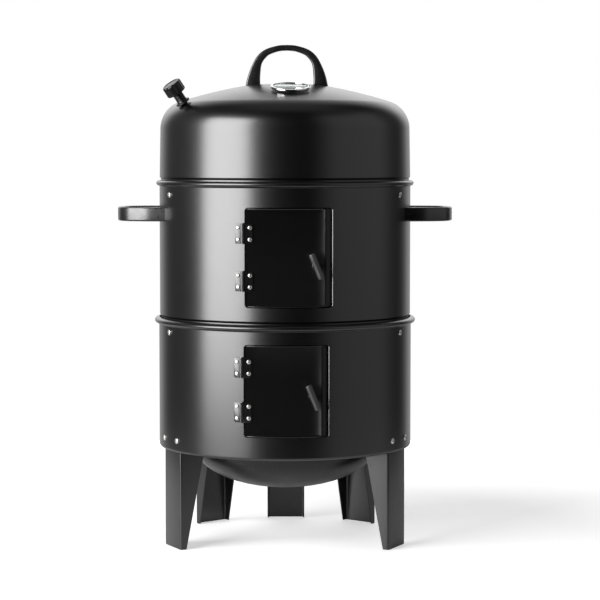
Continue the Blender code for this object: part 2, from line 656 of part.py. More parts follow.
base_z = LID_HANDLE_TOP - HANDLE_REACH
frame = Matrix(((1, 0, 0, LID_HANDLE_X), (0, 0, -1, 0), (0, 1, 0, base_z), (0, 0, 0, 1)))
handle = solid("lid_handle", *prism(arch(lambda u: lid_height(abs(u + LID_HANDLE_X))[0] + 0.45 - base_z), -HANDLE_WIDTH / 2, HANDLE_WIDTH / 2, frame),
               material("lid_handle", MATT_BLACK, 0.4, 0.0), lid)
shell_holes, handle_holes = [], []
for side, x in (("left", LID_HANDLE_X - 53.0), ("right", LID_HANDLE_X + 53.0)):
    z = lid_height(abs(x))[0]
    shell_holes.append(rod(3.0, z - 10, z + 6, Matrix.Translation((x, 0, 0)), 12))
    handle_holes.append(rod(2.9, z - 10, z + 11, Matrix.Translation((x, 0, 0)), 12))
    head = z - SHEET - 3.2
    profile = [(0, head), (4.5, head), (4.5, head + 1.6), (2.5, head + 1.6), (2.5, z + 9.0), (0, z + 9.0)]
    solid("lid_handle_screw_" + side, *lathe_open(profile, 12, Matrix.Translation((x, 0, 0))),
          material("lid_handle_screw_" + side, ZINC, 0.3, 1.0), lid, smooth=True)
boolean(handle, cutter("cut_handle_holes", join(*handle_holes)))

# ------------------------------------------------------------------ thermometer
z, n = lid_height(THERMO_R)
spot = around(THERMO_R, THERMO_ANGLE, z)
normal = (around(n.x, THERMO_ANGLE) + Vector((0, 0, n.y))).normalized()
frame = axis_frame(normal, (1, 0, 0), spot)
c = THERMO_CASE_R
case_low, case_high = 1.6, 11.5
profile = [(4.0, case_low), (c - 3.5, case_low), (c, case_low + 4.0), (c, case_high - 2.0), (c - 2.6, case_high),
           (c - 4.2, case_high - 1.4), (c - 4.2, case_low + 2.0), (4.0, case_low + 2.0)]
solid("thermometer_case", *lathe(profile, 32, frame), material("thermometer_case", (0.8, 0.8, 0.8, 1), 0.12, 1.0), lid, smooth=True)
face_r = c - 4.6
solid("thermometer_dial", *rod(face_r, case_low + 2.3, case_low + 3.3, frame, 32), material("thermometer_dial", (0.8, 0.8, 0.78, 1), 0.5, 0.0), lid)
needle = empty("needle_pivot", tuple(frame @ Vector((0, 0, case_low + 3.6))), lid)
low = case_low + 3.65
hub = [(2.6 * math.cos(math.radians(a)), 2.6 * math.sin(math.radians(a))) for a in range(60, 301, 20)]
tip = math.radians(225.0)
turned = [(x * math.cos(tip) - y * math.sin(tip), x * math.sin(tip) + y * math.cos(tip)) for x, y in
          hub + [(1.4, -1.3), (19.0, -0.5), (20.0, 0.0), (19.0, 0.5), (1.4, 1.3)]]
solid("thermometer_needle", *prism(turned, low, low + 0.9, frame), material("thermometer_needle", (0.02, 0.02, 0.02, 1), 0.5, 0.0), needle)
solid("thermometer_glass", *rod(face_r, case_high - 3.4, case_high - 1.6, frame, 32), material("thermometer_glass", (0.9, 0.95, 0.95, 1), 0.05, 0.0), lid, smooth=True)
solid("thermometer_probe", *rod(3.0, -58.0, case_low + 1.7, frame, 12, 0.6), material("thermometer_probe", (0.6, 0.6, 0.6, 1), 0.25, 1.0), lid, smooth=True)
hexa = [(8.0 * math.cos(math.radians(a)), 8.0 * math.sin(math.radians(a))) for a in range(0, 360, 60)]


def nut(name, frame, high, thick, outer, hole, seg=12):
    """A nut: a six-sided outside and a round hole, facing down from `high`."""
    verts, faces = [], []
    for zz in (high - thick, high):
        verts += [frame @ Vector((outer * math.cos(math.radians(60 * (k // 2) + 30 * (k % 2))) * (1.0 if k % 2 == 0 else 0.866),
                                  outer * math.sin(math.radians(60 * (k // 2) + 30 * (k % 2))) * (1.0 if k % 2 == 0 else 0.866), zz))
                  for k in range(12)]
        verts += [frame @ Vector((hole * math.cos(math.radians(30 * k)), hole * math.sin(math.radians(30 * k)), zz)) for k in range(12)]
    for k in range(12):
        m = (k + 1) % 12
        faces += [[k, m, 12 + m, 12 + k][::-1], [24 + k, 24 + m, 36 + m, 36 + k], [k, m, 24 + m, 24 + k], [12 + k, 12 + m, 36 + m, 36 + k][::-1]]
    return solid(name, verts, faces, material(name, ZINC, 0.35, 1.0), lid)


nut("thermometer_nut", frame, -SHEET - 1.6, 4.0, 8.0, 3.4)
shell_holes.append(rod(3.8, -14, 10, frame, 12))

# ------------------------------------------------------------------ vent: a short open tube with a screw cap
z, n = lid_height(VENT_R)
spot = around(VENT_R, VENT_ANGLE, z)
tilt = math.radians(VENT_TILT)
normal = (around(math.sin(tilt), VENT_ANGLE) + Vector((0, 0, math.cos(tilt)))).normalized()
frame = axis_frame(normal, (1, 0, 0), spot)
profile = [(4.6, -9.0), (5.8, -9.0), (5.8, 2.2), (10.2, 2.2), (10.2, 4.4), (8.4, 6.0), (6.7, 6.4), (6.7, 28.0), (4.6, 28.0)]
solid("vent_pipe", *lathe(profile, 16, frame), material("vent_pipe", MATT_BLACK, 0.3, 0.0), lid, smooth=True)
shell_holes.append(rod(6.6, -16, 12, frame, 16))
cap = empty("vent_cap_turn", tuple(frame @ Vector((0, 0, 25))), lid)
profile = [(7.1, 16.5), (13.0, 16.5), (14.0, 17.8), (14.0, 30.2), (12.6, 31.8), (0, 32.4), (0, 28.6), (7.1, 28.6)]
verts, faces = [], []
seg = 24
rings = []
for r, zz in profile:
    if r == 0:
        rings.append([len(verts)])
        verts.append(frame @ Vector((0, 0, zz)))
    else:
        rings.append(list(range(len(verts), len(verts) + seg)))
        for k in range(seg):
            lobe = -0.8 if k % 3 == 1 and r > 10 else 0.0
            a = 2 * math.pi * k / seg
            verts.append(frame @ Vector(((r + lobe) * math.cos(a), (r + lobe) * math.sin(a), zz)))
for a, b in zip(rings, rings[1:] + rings[:1]):
    if len(a) == 1 and len(b) == 1:
        continue
    for k in range(seg):
        m = (k + 1) % seg
        quad = [a[k % len(a)], a[m % len(a)], b[m % len(b)], b[k % len(b)]]
        faces.append([v for i, v in enumerate(quad) if v not in quad[:i]])
solid("vent_cap", verts, faces, material("vent_cap", BLACK, 0.2, 0.0), cap, smooth=True)
nut("vent_nut", frame, -SHEET - 3.4, 4.0, 10.5, 6.1)

boolean(lid_shell, cutter("cut_lid_holes", join(*shell_holes)))
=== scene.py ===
"""Looks of the upright barrel smoker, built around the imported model.

Shapes are worked out in millimetres in the row frame (+Z up, doors towards -Y) and scaled to metres when a mesh is made.
Angles round the barrel are degrees from the front, positive towards +X.
"""
import json
import math

import bmesh
import bpy
import numpy as np
from mathutils import Matrix, Vector

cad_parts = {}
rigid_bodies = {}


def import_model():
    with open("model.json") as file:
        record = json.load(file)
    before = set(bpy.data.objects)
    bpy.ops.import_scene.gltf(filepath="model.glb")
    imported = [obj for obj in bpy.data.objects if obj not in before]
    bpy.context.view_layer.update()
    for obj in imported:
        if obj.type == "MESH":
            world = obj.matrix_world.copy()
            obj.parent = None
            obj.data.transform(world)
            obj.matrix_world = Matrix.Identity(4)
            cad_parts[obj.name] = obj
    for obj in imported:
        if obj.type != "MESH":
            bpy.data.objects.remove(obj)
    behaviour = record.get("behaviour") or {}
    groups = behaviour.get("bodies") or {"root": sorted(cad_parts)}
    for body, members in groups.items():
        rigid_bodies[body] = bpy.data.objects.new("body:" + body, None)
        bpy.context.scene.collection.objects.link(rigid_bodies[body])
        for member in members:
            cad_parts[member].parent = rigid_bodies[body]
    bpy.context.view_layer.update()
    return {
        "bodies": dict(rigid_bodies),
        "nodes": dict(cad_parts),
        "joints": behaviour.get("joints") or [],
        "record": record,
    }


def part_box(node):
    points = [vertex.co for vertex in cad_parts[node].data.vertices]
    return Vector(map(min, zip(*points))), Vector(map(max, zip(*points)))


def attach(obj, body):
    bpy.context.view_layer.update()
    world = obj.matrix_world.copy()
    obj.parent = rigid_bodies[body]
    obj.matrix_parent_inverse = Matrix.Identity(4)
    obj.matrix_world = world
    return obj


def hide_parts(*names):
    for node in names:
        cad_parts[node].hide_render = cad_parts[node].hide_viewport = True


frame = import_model()
NODES = frame["nodes"]
SHEET = 1.2


# ------------------------------------------------------------------ materials
def nodes_of(name):
    mat = bpy.data.materials.new(name)
    mat.use_nodes = True
    tree = mat.node_tree
    shader = next(n for n in tree.nodes if n.type == "BSDF_PRINCIPLED")
    return mat, tree, shader


def noise(tree, coord, scale, detail=3.0, rough=0.55, stretch=None):
    source = coord
    if stretch is not None:
        mapping = tree.nodes.new("ShaderNodeMapping")
        mapping.inputs["Scale"].default_value = stretch
        tree.links.new(coord, mapping.inputs["Vector"])
        source = mapping.outputs["Vector"]
    n = tree.nodes.new("ShaderNodeTexNoise")
    n.inputs["Scale"].default_value = scale
    n.inputs["Detail"].default_value = detail
    n.inputs["Roughness"].default_value = rough
    tree.links.new(source, n.inputs["Vector"])
    return n.outputs["Fac"]


def spread(tree, value, low, high, to_low, to_high):
    m = tree.nodes.new("ShaderNodeMapRange")
    m.inputs["From Min"].default_value = low
    m.inputs["From Max"].default_value = high
    m.inputs["To Min"].default_value = to_low
    m.inputs["To Max"].default_value = to_high
    tree.links.new(value, m.inputs["Value"])
    return m.outputs["Result"]


def blend_colours(tree, fac, a, b):
    mix = tree.nodes.new("ShaderNodeMix")
    mix.data_type = "RGBA"
    tree.links.new(fac, mix.inputs["Factor"])
    for value, socket in ((a, mix.inputs[6]), (b, mix.inputs[7])):
        if hasattr(value, "is_output"):
            tree.links.new(value, socket)
        else:
            socket.default_value = (*value, 1.0)
    return mix.outputs[2]


def bumps(tree, shader, *layers):
    """Each layer is (height value, strength, distance in metres)."""
    last = None
    for value, strength, distance in layers:
        b = tree.nodes.new("ShaderNodeBump")
        b.inputs["Strength"].default_value = strength
        b.inputs["Distance"].default_value = distance
        tree.links.new(value, b.inputs["Height"])
        if last is not None:
            tree.links.new(last, b.inputs["Normal"])
        last = b.outputs["Normal"]
    tree.links.new(last, shader.inputs["Normal"])


def coated(name, dark, light, rough, span, metallic=0.0, peel=320.0, peel_depth=4.0e-6, grit=1500.0, grit_depth=2.0e-6,
           dust=0.0, specular=0.5, coat=0.0, coat_rough=0.1, patch=16.0):
    """Paint, powder coat or moulded plastic: cloudy tone, dust specks, orange peel and a fine grit."""
    mat, tree, shader = nodes_of(name)
    coord = tree.nodes.new("ShaderNodeTexCoord").outputs["Object"]
    cloud = noise(tree, coord, patch, 5.0)
    tone = blend_colours(tree, spread(tree, cloud, 0.33, 0.67, 0.0, 1.0), dark, light)
    if dust:
        specks = spread(tree, noise(tree, coord, 640.0, 2.0, 0.7), 0.70, 0.80, 0.0, dust)
        tone = blend_colours(tree, specks, tone, (0.16, 0.155, 0.15))
    tree.links.new(tone, shader.inputs["Base Color"])
    tree.links.new(spread(tree, noise(tree, coord, 70.0, 4.0), 0.3, 0.7, rough - span, rough + span), shader.inputs["Roughness"])
    shader.inputs["Metallic"].default_value = metallic
    shader.inputs["Specular IOR Level"].default_value = specular
    shader.inputs["Coat Weight"].default_value = coat
    shader.inputs["Coat Roughness"].default_value = coat_rough
    bumps(tree, shader, (noise(tree, coord, peel, 1.5), 1.0, peel_depth), (noise(tree, coord, grit, 2.0), 1.0, grit_depth))
    return mat


def metal(name, dark, light, rough, span, stretch=(1.0, 1.0, 1.0), grain=900.0, depth=2.0e-6, stain=None):
    """Bare or plated metal: stretched grain in its colour, roughness and height, with optional stains."""
    mat, tree, shader = nodes_of(name)
    coord = tree.nodes.new("ShaderNodeTexCoord").outputs["Object"]
    streaks = noise(tree, coord, grain, 3.0, 0.6, stretch)
    tone = blend_colours(tree, spread(tree, streaks, 0.3, 0.7, 0.0, 1.0), dark, light)
    if stain is not None:
        tone = blend_colours(tree, spread(tree, noise(tree, coord, 45.0, 5.0, 0.65), 0.55, 0.75, 0.0, 0.7), tone, stain)
    tree.links.new(tone, shader.inputs["Base Color"])
    tree.links.new(spread(tree, noise(tree, coord, 130.0, 4.0), 0.3, 0.7, rough - span, rough + span), shader.inputs["Roughness"])
    shader.inputs["Metallic"].default_value = 1.0
    bumps(tree, shader, (streaks, 1.0, depth))
    return mat


def enamel(name):
    """Glossy vitreous enamel with small pale flecks and a wavy surface."""
    mat, tree, shader = nodes_of(name)
    coord = tree.nodes.new("ShaderNodeTexCoord").outputs["Object"]
    tone = blend_colours(tree, spread(tree, noise(tree, coord, 12.0, 4.0), 0.35, 0.65, 0.0, 1.0),
                         (0.003, 0.003, 0.0035), (0.007, 0.007, 0.008))
    cells = tree.nodes.new("ShaderNodeTexVoronoi")
    cells.inputs["Scale"].default_value = 260.0
    tree.links.new(coord, cells.inputs["Vector"])
    flecks = spread(tree, cells.outputs["Distance"], 0.16, 0.08, 0.0, 0.8)
    thin = tree.nodes.new("ShaderNodeMath")
    thin.operation = "MULTIPLY"
    tree.links.new(flecks, thin.inputs[0])
    tree.links.new(spread(tree, noise(tree, coord, 90.0, 2.0), 0.5, 0.6, 0.0, 1.0), thin.inputs[1])
    tree.links.new(blend_colours(tree, thin.outputs["Value"], tone, (0.2, 0.2, 0.21)), shader.inputs["Base Color"])
    tree.links.new(spread(tree, noise(tree, coord, 60.0, 4.0), 0.3, 0.7, 0.31, 0.38), shader.inputs["Roughness"])
    bumps(tree, shader, (noise(tree, coord, 110.0, 2.0), 1.0, 2.2e-5))
    return mat


def pane(name):
    """Clear flat glass: light goes straight through, and its face mirrors at low angles, with a little dust."""
    mat = bpy.data.materials.new(name)
    mat.use_nodes = True
    tree = mat.node_tree
    tree.nodes.clear()
    out = tree.nodes.new("ShaderNodeOutputMaterial")
    coord = tree.nodes.new("ShaderNodeTexCoord").outputs["Object"]
    clear = tree.nodes.new("ShaderNodeBsdfTransparent")
    clear.inputs["Color"].default_value = (0.93, 0.955, 0.95, 1.0)
    gloss = tree.nodes.new("ShaderNodeBsdfPrincipled")
    gloss.inputs["Base Color"].default_value = (0.75, 0.77, 0.77, 1.0)
    gloss.inputs["Metallic"].default_value = 1.0
    tree.links.new(spread(tree, noise(tree, coord, 320.0, 4.0), 0.3, 0.7, 0.05, 0.11), gloss.inputs["Roughness"])
    # the share mirrored rises towards low angles in the same way on both faces of the pane
    slant = tree.nodes.new("ShaderNodeLayerWeight")
    slant.inputs["Blend"].default_value = 0.5
    power = tree.nodes.new("ShaderNodeMath")
    power.operation = "POWER"
    tree.links.new(slant.outputs["Facing"], power.inputs[0])
    power.inputs[1].default_value = 5.0
    mix = tree.nodes.new("ShaderNodeMixShader")
    tree.links.new(spread(tree, power.outputs["Value"], 0.0, 1.0, 0.04, 1.0), mix.inputs[0])
    tree.links.new(clear.outputs["BSDF"], mix.inputs[1])
    tree.links.new(gloss.outputs["BSDF"], mix.inputs[2])
    tree.links.new(mix.outputs["Shader"], out.inputs["Surface"])
    return mat


MATERIALS = {
    "black_paint": coated("black_paint", (0.0003, 0.0003, 0.00035), (0.0007, 0.00065, 0.0007), 0.285, 0.007, dust=0.01, specular=1.0),
    "handle_black": coated("handle_black", (0.003, 0.003, 0.003), (0.006, 0.006, 0.0058), 0.30, 0.04, peel=900.0,
                           peel_depth=6.0e-6, grit=2600.0, grit_depth=3.0e-6, dust=0.08, specular=1.0, patch=30.0),
    "latch_black": coated("latch_black", (0.022, 0.022, 0.0215), (0.034, 0.034, 0.033), 0.42, 0.05, peel=700.0,
                          peel_depth=6.0e-6, dust=0.2, specular=0.9, patch=60.0),
    "hinge_black": coated("hinge_black", (0.0006, 0.0006, 0.0007), (0.0016, 0.0015, 0.0015), 0.33, 0.04, peel=600.0,
                          peel_depth=5.0e-6, dust=0.08, specular=1.0, patch=90.0),
    "hinge_steel": metal("hinge_steel", (0.2, 0.2, 0.2), (0.4, 0.4, 0.39), 0.36, 0.08, (1.0, 1.0, 0.12), 1400.0, 3.0e-6,
                         (0.09, 0.08, 0.07)),
    "zinc_fastener": metal("zinc_fastener", (0.62, 0.62, 0.6), (0.84, 0.84, 0.82), 0.38, 0.06, (1.0, 1.0, 1.0), 1800.0, 2.5e-6,
                           (0.5, 0.49, 0.45)),
    "bowl_enamel": enamel("bowl_enamel"),
    "grate_chrome": metal("grate_chrome", (0.5, 0.5, 0.5), (0.68, 0.68, 0.67), 0.2, 0.06, (1.0, 0.08, 1.0), 900.0, 3.0e-6,
                          (0.3, 0.27, 0.24)),
    "bezel_chrome": metal("bezel_chrome", (0.8, 0.8, 0.8), (0.88, 0.88, 0.88), 0.12, 0.035, (1.0, 1.0, 1.0), 1200.0, 6.0e-7),
    "dial_face": coated("dial_face", (0.84, 0.84, 0.82), (0.9, 0.9, 0.88), 0.45, 0.04, peel=500.0, peel_depth=1.0e-6,
                        patch=60.0),
    "gauge_glass": pane("gauge_glass"),
    "needle_black": coated("needle_black", (0.012, 0.012, 0.012), (0.025, 0.025, 0.025), 0.42, 0.05, patch=200.0),
    "probe_steel": metal("probe_steel", (0.42, 0.42, 0.42), (0.6, 0.6, 0.59), 0.28, 0.08, (1.0, 1.0, 0.1), 1500.0, 2.0e-6,
                         (0.25, 0.2, 0.15)),
    "vent_black": coated("vent_black", (0.003, 0.003, 0.003), (0.006, 0.006, 0.006), 0.34, 0.05, peel=420.0, peel_depth=5.0e-6,
                         dust=0.1, patch=60.0),
}
SLOT_OF = {s["node"]: s["material_slot"] for s in frame["record"]["subparts"]}


# ------------------------------------------------------------------ geometry helpers
def around(r, angle, z=0.0):
    a = math.radians(angle)
    return Vector((r * math.sin(a), -r * math.cos(a), z))


def local_frame(angle, centre):
    """X along the tangent, Y inwards, Z up."""
    a = math.radians(angle)
    m = Matrix(((math.cos(a), math.sin(a), 0.0), (-math.sin(a), math.cos(a), 0.0), (0.0, 0.0, 1.0))).transposed().to_4x4()
    m.translation = centre
    return m


def axis_frame(z_dir, x_hint, centre):
    z = Vector(z_dir).normalized()
    x = (Vector(x_hint) - z * z.dot(Vector(x_hint))).normalized()
    m = Matrix((x, z.cross(x), z)).transposed().to_4x4()
    m.translation = centre
    return m


def fillet(points, radii, steps=5):
    """The polyline with each inner corner rounded to the radius given for it."""
    out = [Vector(points[0])]
    for i in range(1, len(points) - 1):
        a, b, c = Vector(points[i - 1]), Vector(points[i]), Vector(points[i + 1])
        r = radii[i - 1]
        u, v = (a - b).normalized(), (c - b).normalized()
        turn = math.acos(max(-1.0, min(1.0, u.dot(v))))
        if r <= 0 or turn > math.pi - 1e-3:
            out.append(b)
            continue
        reach = r / math.tan(turn / 2)
        centre = b + (u + v).normalized() * r / math.sin(turn / 2)
        p, q = b + u * reach - centre, b + v * reach - centre
        a0, a1 = math.atan2(p.y, p.x), math.atan2(q.y, q.x)
        d = (a1 - a0 + math.pi) % (2 * math.pi) - math.pi
        out += [centre + Vector((math.cos(a0 + d * k / steps), math.sin(a0 + d * k / steps))) * r for k in range(steps + 1)]
    return out + [Vector(points[-1])]


def oval(r, z, a, b, start, end, steps):
    return [(r + a * math.cos(math.radians(start + (end - start) * k / steps)),
             z + b * math.sin(math.radians(start + (end - start) * k / steps))) for k in range(steps + 1)]


def sheet(outer, thickness=SHEET):
    """The closed outline of a sheet whose outer face follows `outer`, a line going up its outside."""
    pts = [Vector(p) for p in outer]
    inner = []
    for i, p in enumerate(pts):
        normals = []
        for a, b in ((i - 1, i), (i, i + 1)):
            if a >= 0 and b < len(pts):
                d = (pts[b] - pts[a]).normalized()
                normals.append(Vector((-d.y, d.x)))
        n = sum(normals, Vector((0.0, 0.0))).normalized()
        q = p + n * thickness / max(0.35, n.dot(normals[0]))
        if p.x < 1e-6:
            q.x = 0.0
        inner.append(q)
    return [tuple(p) for p in pts] + [tuple(q) for q in reversed(inner)]


def lathe(profile, seg=96, frame=None, closed=True, shape=None):
    """Turns (radius, height) points about Z. `shape(radius, height, turn)` may change the radius round the turn."""
    verts, rings = [], []
    for r, z in profile:
        if r < 1e-6:
            rings.append([len(verts)])
            verts.append(Vector((0.0, 0.0, z)))
        else:
            rings.append(list(range(len(verts), len(verts) + seg)))
            for k in range(seg):
                rr = r if shape is None else shape(r, z, 2 * math.pi * k / seg)
                verts.append(around(rr, 360.0 * k / seg, z))
    faces = []
    pairs = list(zip(rings, rings[1:] + rings[:1])) if closed else list(zip(rings, rings[1:]))
    for a, b in pairs:
        if len(a) == 1 and len(b) == 1:
            continue
        for k in range(seg):
            m = (k + 1) % seg
            quad = [a[k % len(a)], a[m % len(a)], b[m % len(b)], b[k % len(b)]]
            faces.append([v for i, v in enumerate(quad) if v not in quad[:i]])
    if frame is not None:
        verts = [frame @ v for v in verts]
    return verts, faces


def prism(outline, low, high, frame=None):
    n = len(outline)
    verts = [Vector((x, y, low)) for x, y in outline] + [Vector((x, y, high)) for x, y in outline]
    faces = [list(range(n))[::-1], list(range(n, 2 * n))]
    faces += [[k, (k + 1) % n, n + (k + 1) % n, n + k] for k in range(n)]
    if frame is not None:
        verts = [frame @ v for v in verts]
    return verts, faces


def block(lo, hi, frame=None):
    return prism([(lo[0], lo[1]), (hi[0], lo[1]), (hi[0], hi[1]), (lo[0], hi[1])], lo[2], hi[2], frame)


def rounded_loop(x0, x1, z0, z1, r, arc=5):
    loop = []
    for cx, cz, start in ((x1 - r, z1 - r, 0), (x0 + r, z1 - r, 90), (x0 + r, z0 + r, 180), (x1 - r, z0 + r, 270)):
        for k in range(arc + 1):
            a = math.radians(start + 90.0 * k / arc)
            loop.append((cx + r * math.cos(a), cz + r * math.sin(a)))
    return loop


def stack(loops):
    """Closes a stack of equal loops of points into one solid."""
    n = len(loops[0])
    verts = [Vector(p) for loop in loops for p in loop]
    faces = [list(range(n))[::-1], list(range((len(loops) - 1) * n, len(loops) * n))]
    for s in range(len(loops) - 1):
        faces += [[s * n + k, s * n + (k + 1) % n, (s + 1) * n + (k + 1) % n, (s + 1) * n + k] for k in range(n)]
    return verts, faces


def slab(x0, x1, y0, y1, corner, thick, edge, frame, arc=5):
    """A flat plate with round corners and a softened upper edge, lying on the frame's XY."""
    loops = []
    for inset, h in ((0.0, 0.0), (0.0, thick - edge), (edge * 0.3, thick - edge * 0.3), (edge, thick)):
        loops.append([frame @ Vector((x, y, h)) for x, y in
                      rounded_loop(x0 + inset, x1 - inset, y0 + inset, y1 - inset, max(0.2, corner - inset), arc)])
    return stack(loops)


def join(*shapes):
    verts, faces = [], []
    for v, f in shapes:
        faces += [[i + len(verts) for i in face] for face in f]
        verts += list(v)
    return verts, faces


def make(name, shape, sharp=35.0, smooth=True):
    verts, faces = shape
    bm = bmesh.new()
    made = [bm.verts.new(Vector(v) * 0.001) for v in verts]
    for f in faces:
        bm.faces.new([made[i] for i in f])
    bmesh.ops.recalc_face_normals(bm, faces=bm.faces)
    mesh = bpy.data.meshes.new(name)
    bm.to_mesh(mesh)
    bm.free()
    obj = bpy.data.objects.new(name, mesh)
    bpy.context.scene.collection.objects.link(obj)
    if smooth:
        mesh.shade_smooth()
        mesh.set_sharp_from_angle(angle=math.radians(sharp))
    return obj


def settle(obj):
    """Applies the object's modifiers."""
    bpy.context.view_layer.update()
    dg = bpy.context.evaluated_depsgraph_get()
    mesh = bpy.data.meshes.new_from_object(obj.evaluated_get(dg), preserve_all_data_layers=True, depsgraph=dg)
    obj.modifiers.clear()
    old = obj.data
    obj.data = mesh
    bpy.data.meshes.remove(old)
    mesh.name = obj.name
    return obj


def cut(obj, *shapes):
    tools = []
    for i, shape in enumerate(shapes):
        tool = make("tool_%d_" % i + obj.name, shape, smooth=False)
        mod = obj.modifiers.new("cut%d" % i, "BOOLEAN")
        mod.operation, mod.solver, mod.object = "DIFFERENCE", "EXACT", tool
        tools.append(tool)
    settle(obj)
    for tool in tools:
        mesh = tool.data
        bpy.data.objects.remove(tool)
        bpy.data.meshes.remove(mesh)
    return obj


def soften(obj, width, segments=3, angle=40.0):
    """Rounds the sharp edges of a solid, with normals that keep the flats flat."""
    mod = obj.modifiers.new("soften", "BEVEL")
    mod.width = width * 0.001
    mod.segments = segments
    mod.limit_method = "ANGLE"
    mod.angle_limit = math.radians(angle)
    mod.harden_normals = True
    mod.use_clamp_overlap = True
    return settle(obj)


def turned_normals(obj, outline, smooth_angle=38.0):
    """Gives a turned sheet the normals of its own outline, so that holes cut in it don't mark its round faces."""
    p = np.array(outline, float)
    q = np.roll(p, -1, axis=0)
    d = q - p
    keep = np.hypot(d[:, 0], d[:, 1]) > 1e-6
    area = 0.5 * np.sum(p[:, 0] * q[:, 1] - q[:, 0] * p[:, 1])
    sign = 1.0 if area > 0 else -1.0
    n = np.stack([d[:, 1], -d[:, 0]], 1) * sign
    n /= np.maximum(np.hypot(n[:, 0], n[:, 1]), 1e-9)[:, None]
    count = len(p)
    start, end = n.copy(), n.copy()
    length = np.hypot(d[:, 0], d[:, 1]) ** 2
    limit = math.cos(math.radians(smooth_angle))
    for i in range(count):
        j = (i - 1) % count
        if keep[i] and keep[j] and n[i] @ n[j] > limit:
            # the longer face keeps more of its own direction, so flats stay flat beside small bends
            m = n[i] * length[i] + n[j] * length[j]
            m /= np.hypot(*m)
            start[i] = m
            end[j] = m
    length2 = np.maximum((d * d).sum(1), 1e-9)
    mesh = obj.data
    co = np.zeros(len(mesh.vertices) * 3)
    mesh.vertices.foreach_get("co", co)
    co = co.reshape(-1, 3) * 1000.0
    rad = np.hypot(co[:, 0], co[:, 1])
    normals = [None] * len(mesh.loops)
    for poly in mesh.polygons:
        vi = list(poly.vertices)
        rm, zm = rad[vi].mean(), co[vi, 2].mean()
        cx, cy = co[vi, 0].mean(), co[vi, 1].mean()
        cr = max(math.hypot(cx, cy), 1e-6)
        fn = poly.normal
        f2 = np.array([(fn.x * cx + fn.y * cy) / cr, fn.z])
        t = np.clip((rm - p[:, 0]) * d[:, 0] + (zm - p[:, 1]) * d[:, 1], 0, length2) / length2
        dist = np.hypot(p[:, 0] + d[:, 0] * t - rm, p[:, 1] + d[:, 1] * t - zm)
        dist[(n @ f2 < 0.8) | ~keep] = 1e9
        i = int(dist.argmin())
        flat = dist[i] > 0.5
        for loop, v in zip(poly.loop_indices, vi):
            if flat:
                normals[loop] = tuple(fn)
                continue
            s = ((rad[v] - p[i, 0]) * d[i, 0] + (co[v, 2] - p[i, 1]) * d[i, 1]) / length2[i]
            s = min(1.0, max(0.0, s))
            m = start[i] * (1 - s) + end[i] * s
            if rad[v] < 1e-3:
                normals[loop] = (0.0, 0.0, 1.0 if m[1] > 0 else -1.0)
            else:
                w = Vector((m[0] * co[v, 0] / rad[v], m[0] * co[v, 1] / rad[v], m[1])).normalized()
                normals[loop] = tuple(w)
    mesh.shade_smooth()
    mesh.normals_split_custom_set(normals)
    return obj


def finish_piece(obj, body, slot, *replaced):
    obj.data.materials.clear()
    obj.data.materials.append(MATERIALS[slot])
    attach(obj, body)
    if replaced:
        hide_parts(*replaced)
    return obj


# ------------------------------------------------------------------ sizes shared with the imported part
LOWER_R, UPPER_R = 200.0, 198.6
LEG_ANGLES = {"leg_front_left": -63.8, "leg_front_right": 63.8, "leg_rear_left": -140.0,
              "leg_rear_right": 140.0, "leg_rear_centre": 180.0}
LEG_PLANE, LEG_TOP, LOWER_BOTTOM = 195.4, 195.5, 151.0
LOWER_BRACKETS = {"left": -63.0, "right": 63.0, "rear": 180.0}
UPPER_BRACKETS = {"left": -63.3, "right": 63.3, "rear": 180.0}
LOWER_SCREW_Z, UPPER_SCREW_Z = 337.0, 550.0
DOOR_GAP, CORNER_R, TURN = 1.3, 5.5, math.radians(4.4)
DOORS = {
    "lower": {"x0": -61.4, "x1": 67.0, "z0": 185.5, "z1": 326.6, "r": LOWER_R, "hinge_x": -64.6,
              "hinge_z": (291.8, 224.1), "latch_x": 42.8, "latch_z": 247.4, "swell": (0.34, 0.38)},
    "upper": {"x0": -59.7, "x1": 72.4, "z0": 382.0, "z1": 533.0, "r": UPPER_R, "hinge_x": -62.6,
              "hinge_z": (493.9, 422.1), "latch_x": 47.7, "latch_z": 445.0, "swell": (0.2, 0.46)},
}
HINGE_HALF, KNUCKLE_MID = 15.0, 5.6
LID_SKIRT_R, LID_R, LID_BOTTOM, LID_STEP = 196.2, 198.2, 560.0, 574.2
SHOULDER_Z, SHOULDER_R, CROWN_SLOPE, CROWN_R, TOP_SLOPE, TOP_R = 652.6, 45.0, 17.5, 782.0, 9.7, 140.0
LEG_SCREW_Z = 170.0


def opening(door):
    loop = rounded_loop(door["x0"], door["x1"], door["z0"], door["z1"], CORNER_R, 7)
    n = len(loop)
    verts = [Vector((x, -230.0, z)) for x, z in loop] + [Vector((x, -150.0, z)) for x, z in loop]
    faces = [list(range(n)), list(range(n, 2 * n))[::-1]] + [[k, n + k, n + (k + 1) % n, (k + 1) % n] for k in range(n)]
    return verts, faces


def edge_chamfer(door):
    """A wedge that breaks the outer corner of the opening's latch side."""
    r, x = door["r"], door["x1"]
    a = math.asin(x / r)
    edge = Vector((x, -math.sqrt(r * r - x * x)))
    along, out = Vector((math.cos(a), math.sin(a))), Vector((math.sin(a), -math.cos(a)))
    outline = [edge + along * 1.35 + out * 0.25, edge - along * 0.5 + out * 1.5, edge - along * 0.35 - out * 1.45]
    return prism([tuple(p) for p in outline], door["z0"] + 3.0, door["z1"] - 3.0)


def rod(r, low, high, frame, seg=20):
    return lathe([(0.0, low), (r, low), (r, high), (0.0, high)], seg, frame, closed=False)


def screw_holes(angles, z, r_plane, hole=2.9):
    return join(*[rod(hole, -12, 12, axis_frame(around(1, a), (0, 0, 1), around(r_plane, a, z)), 16) for a in angles])


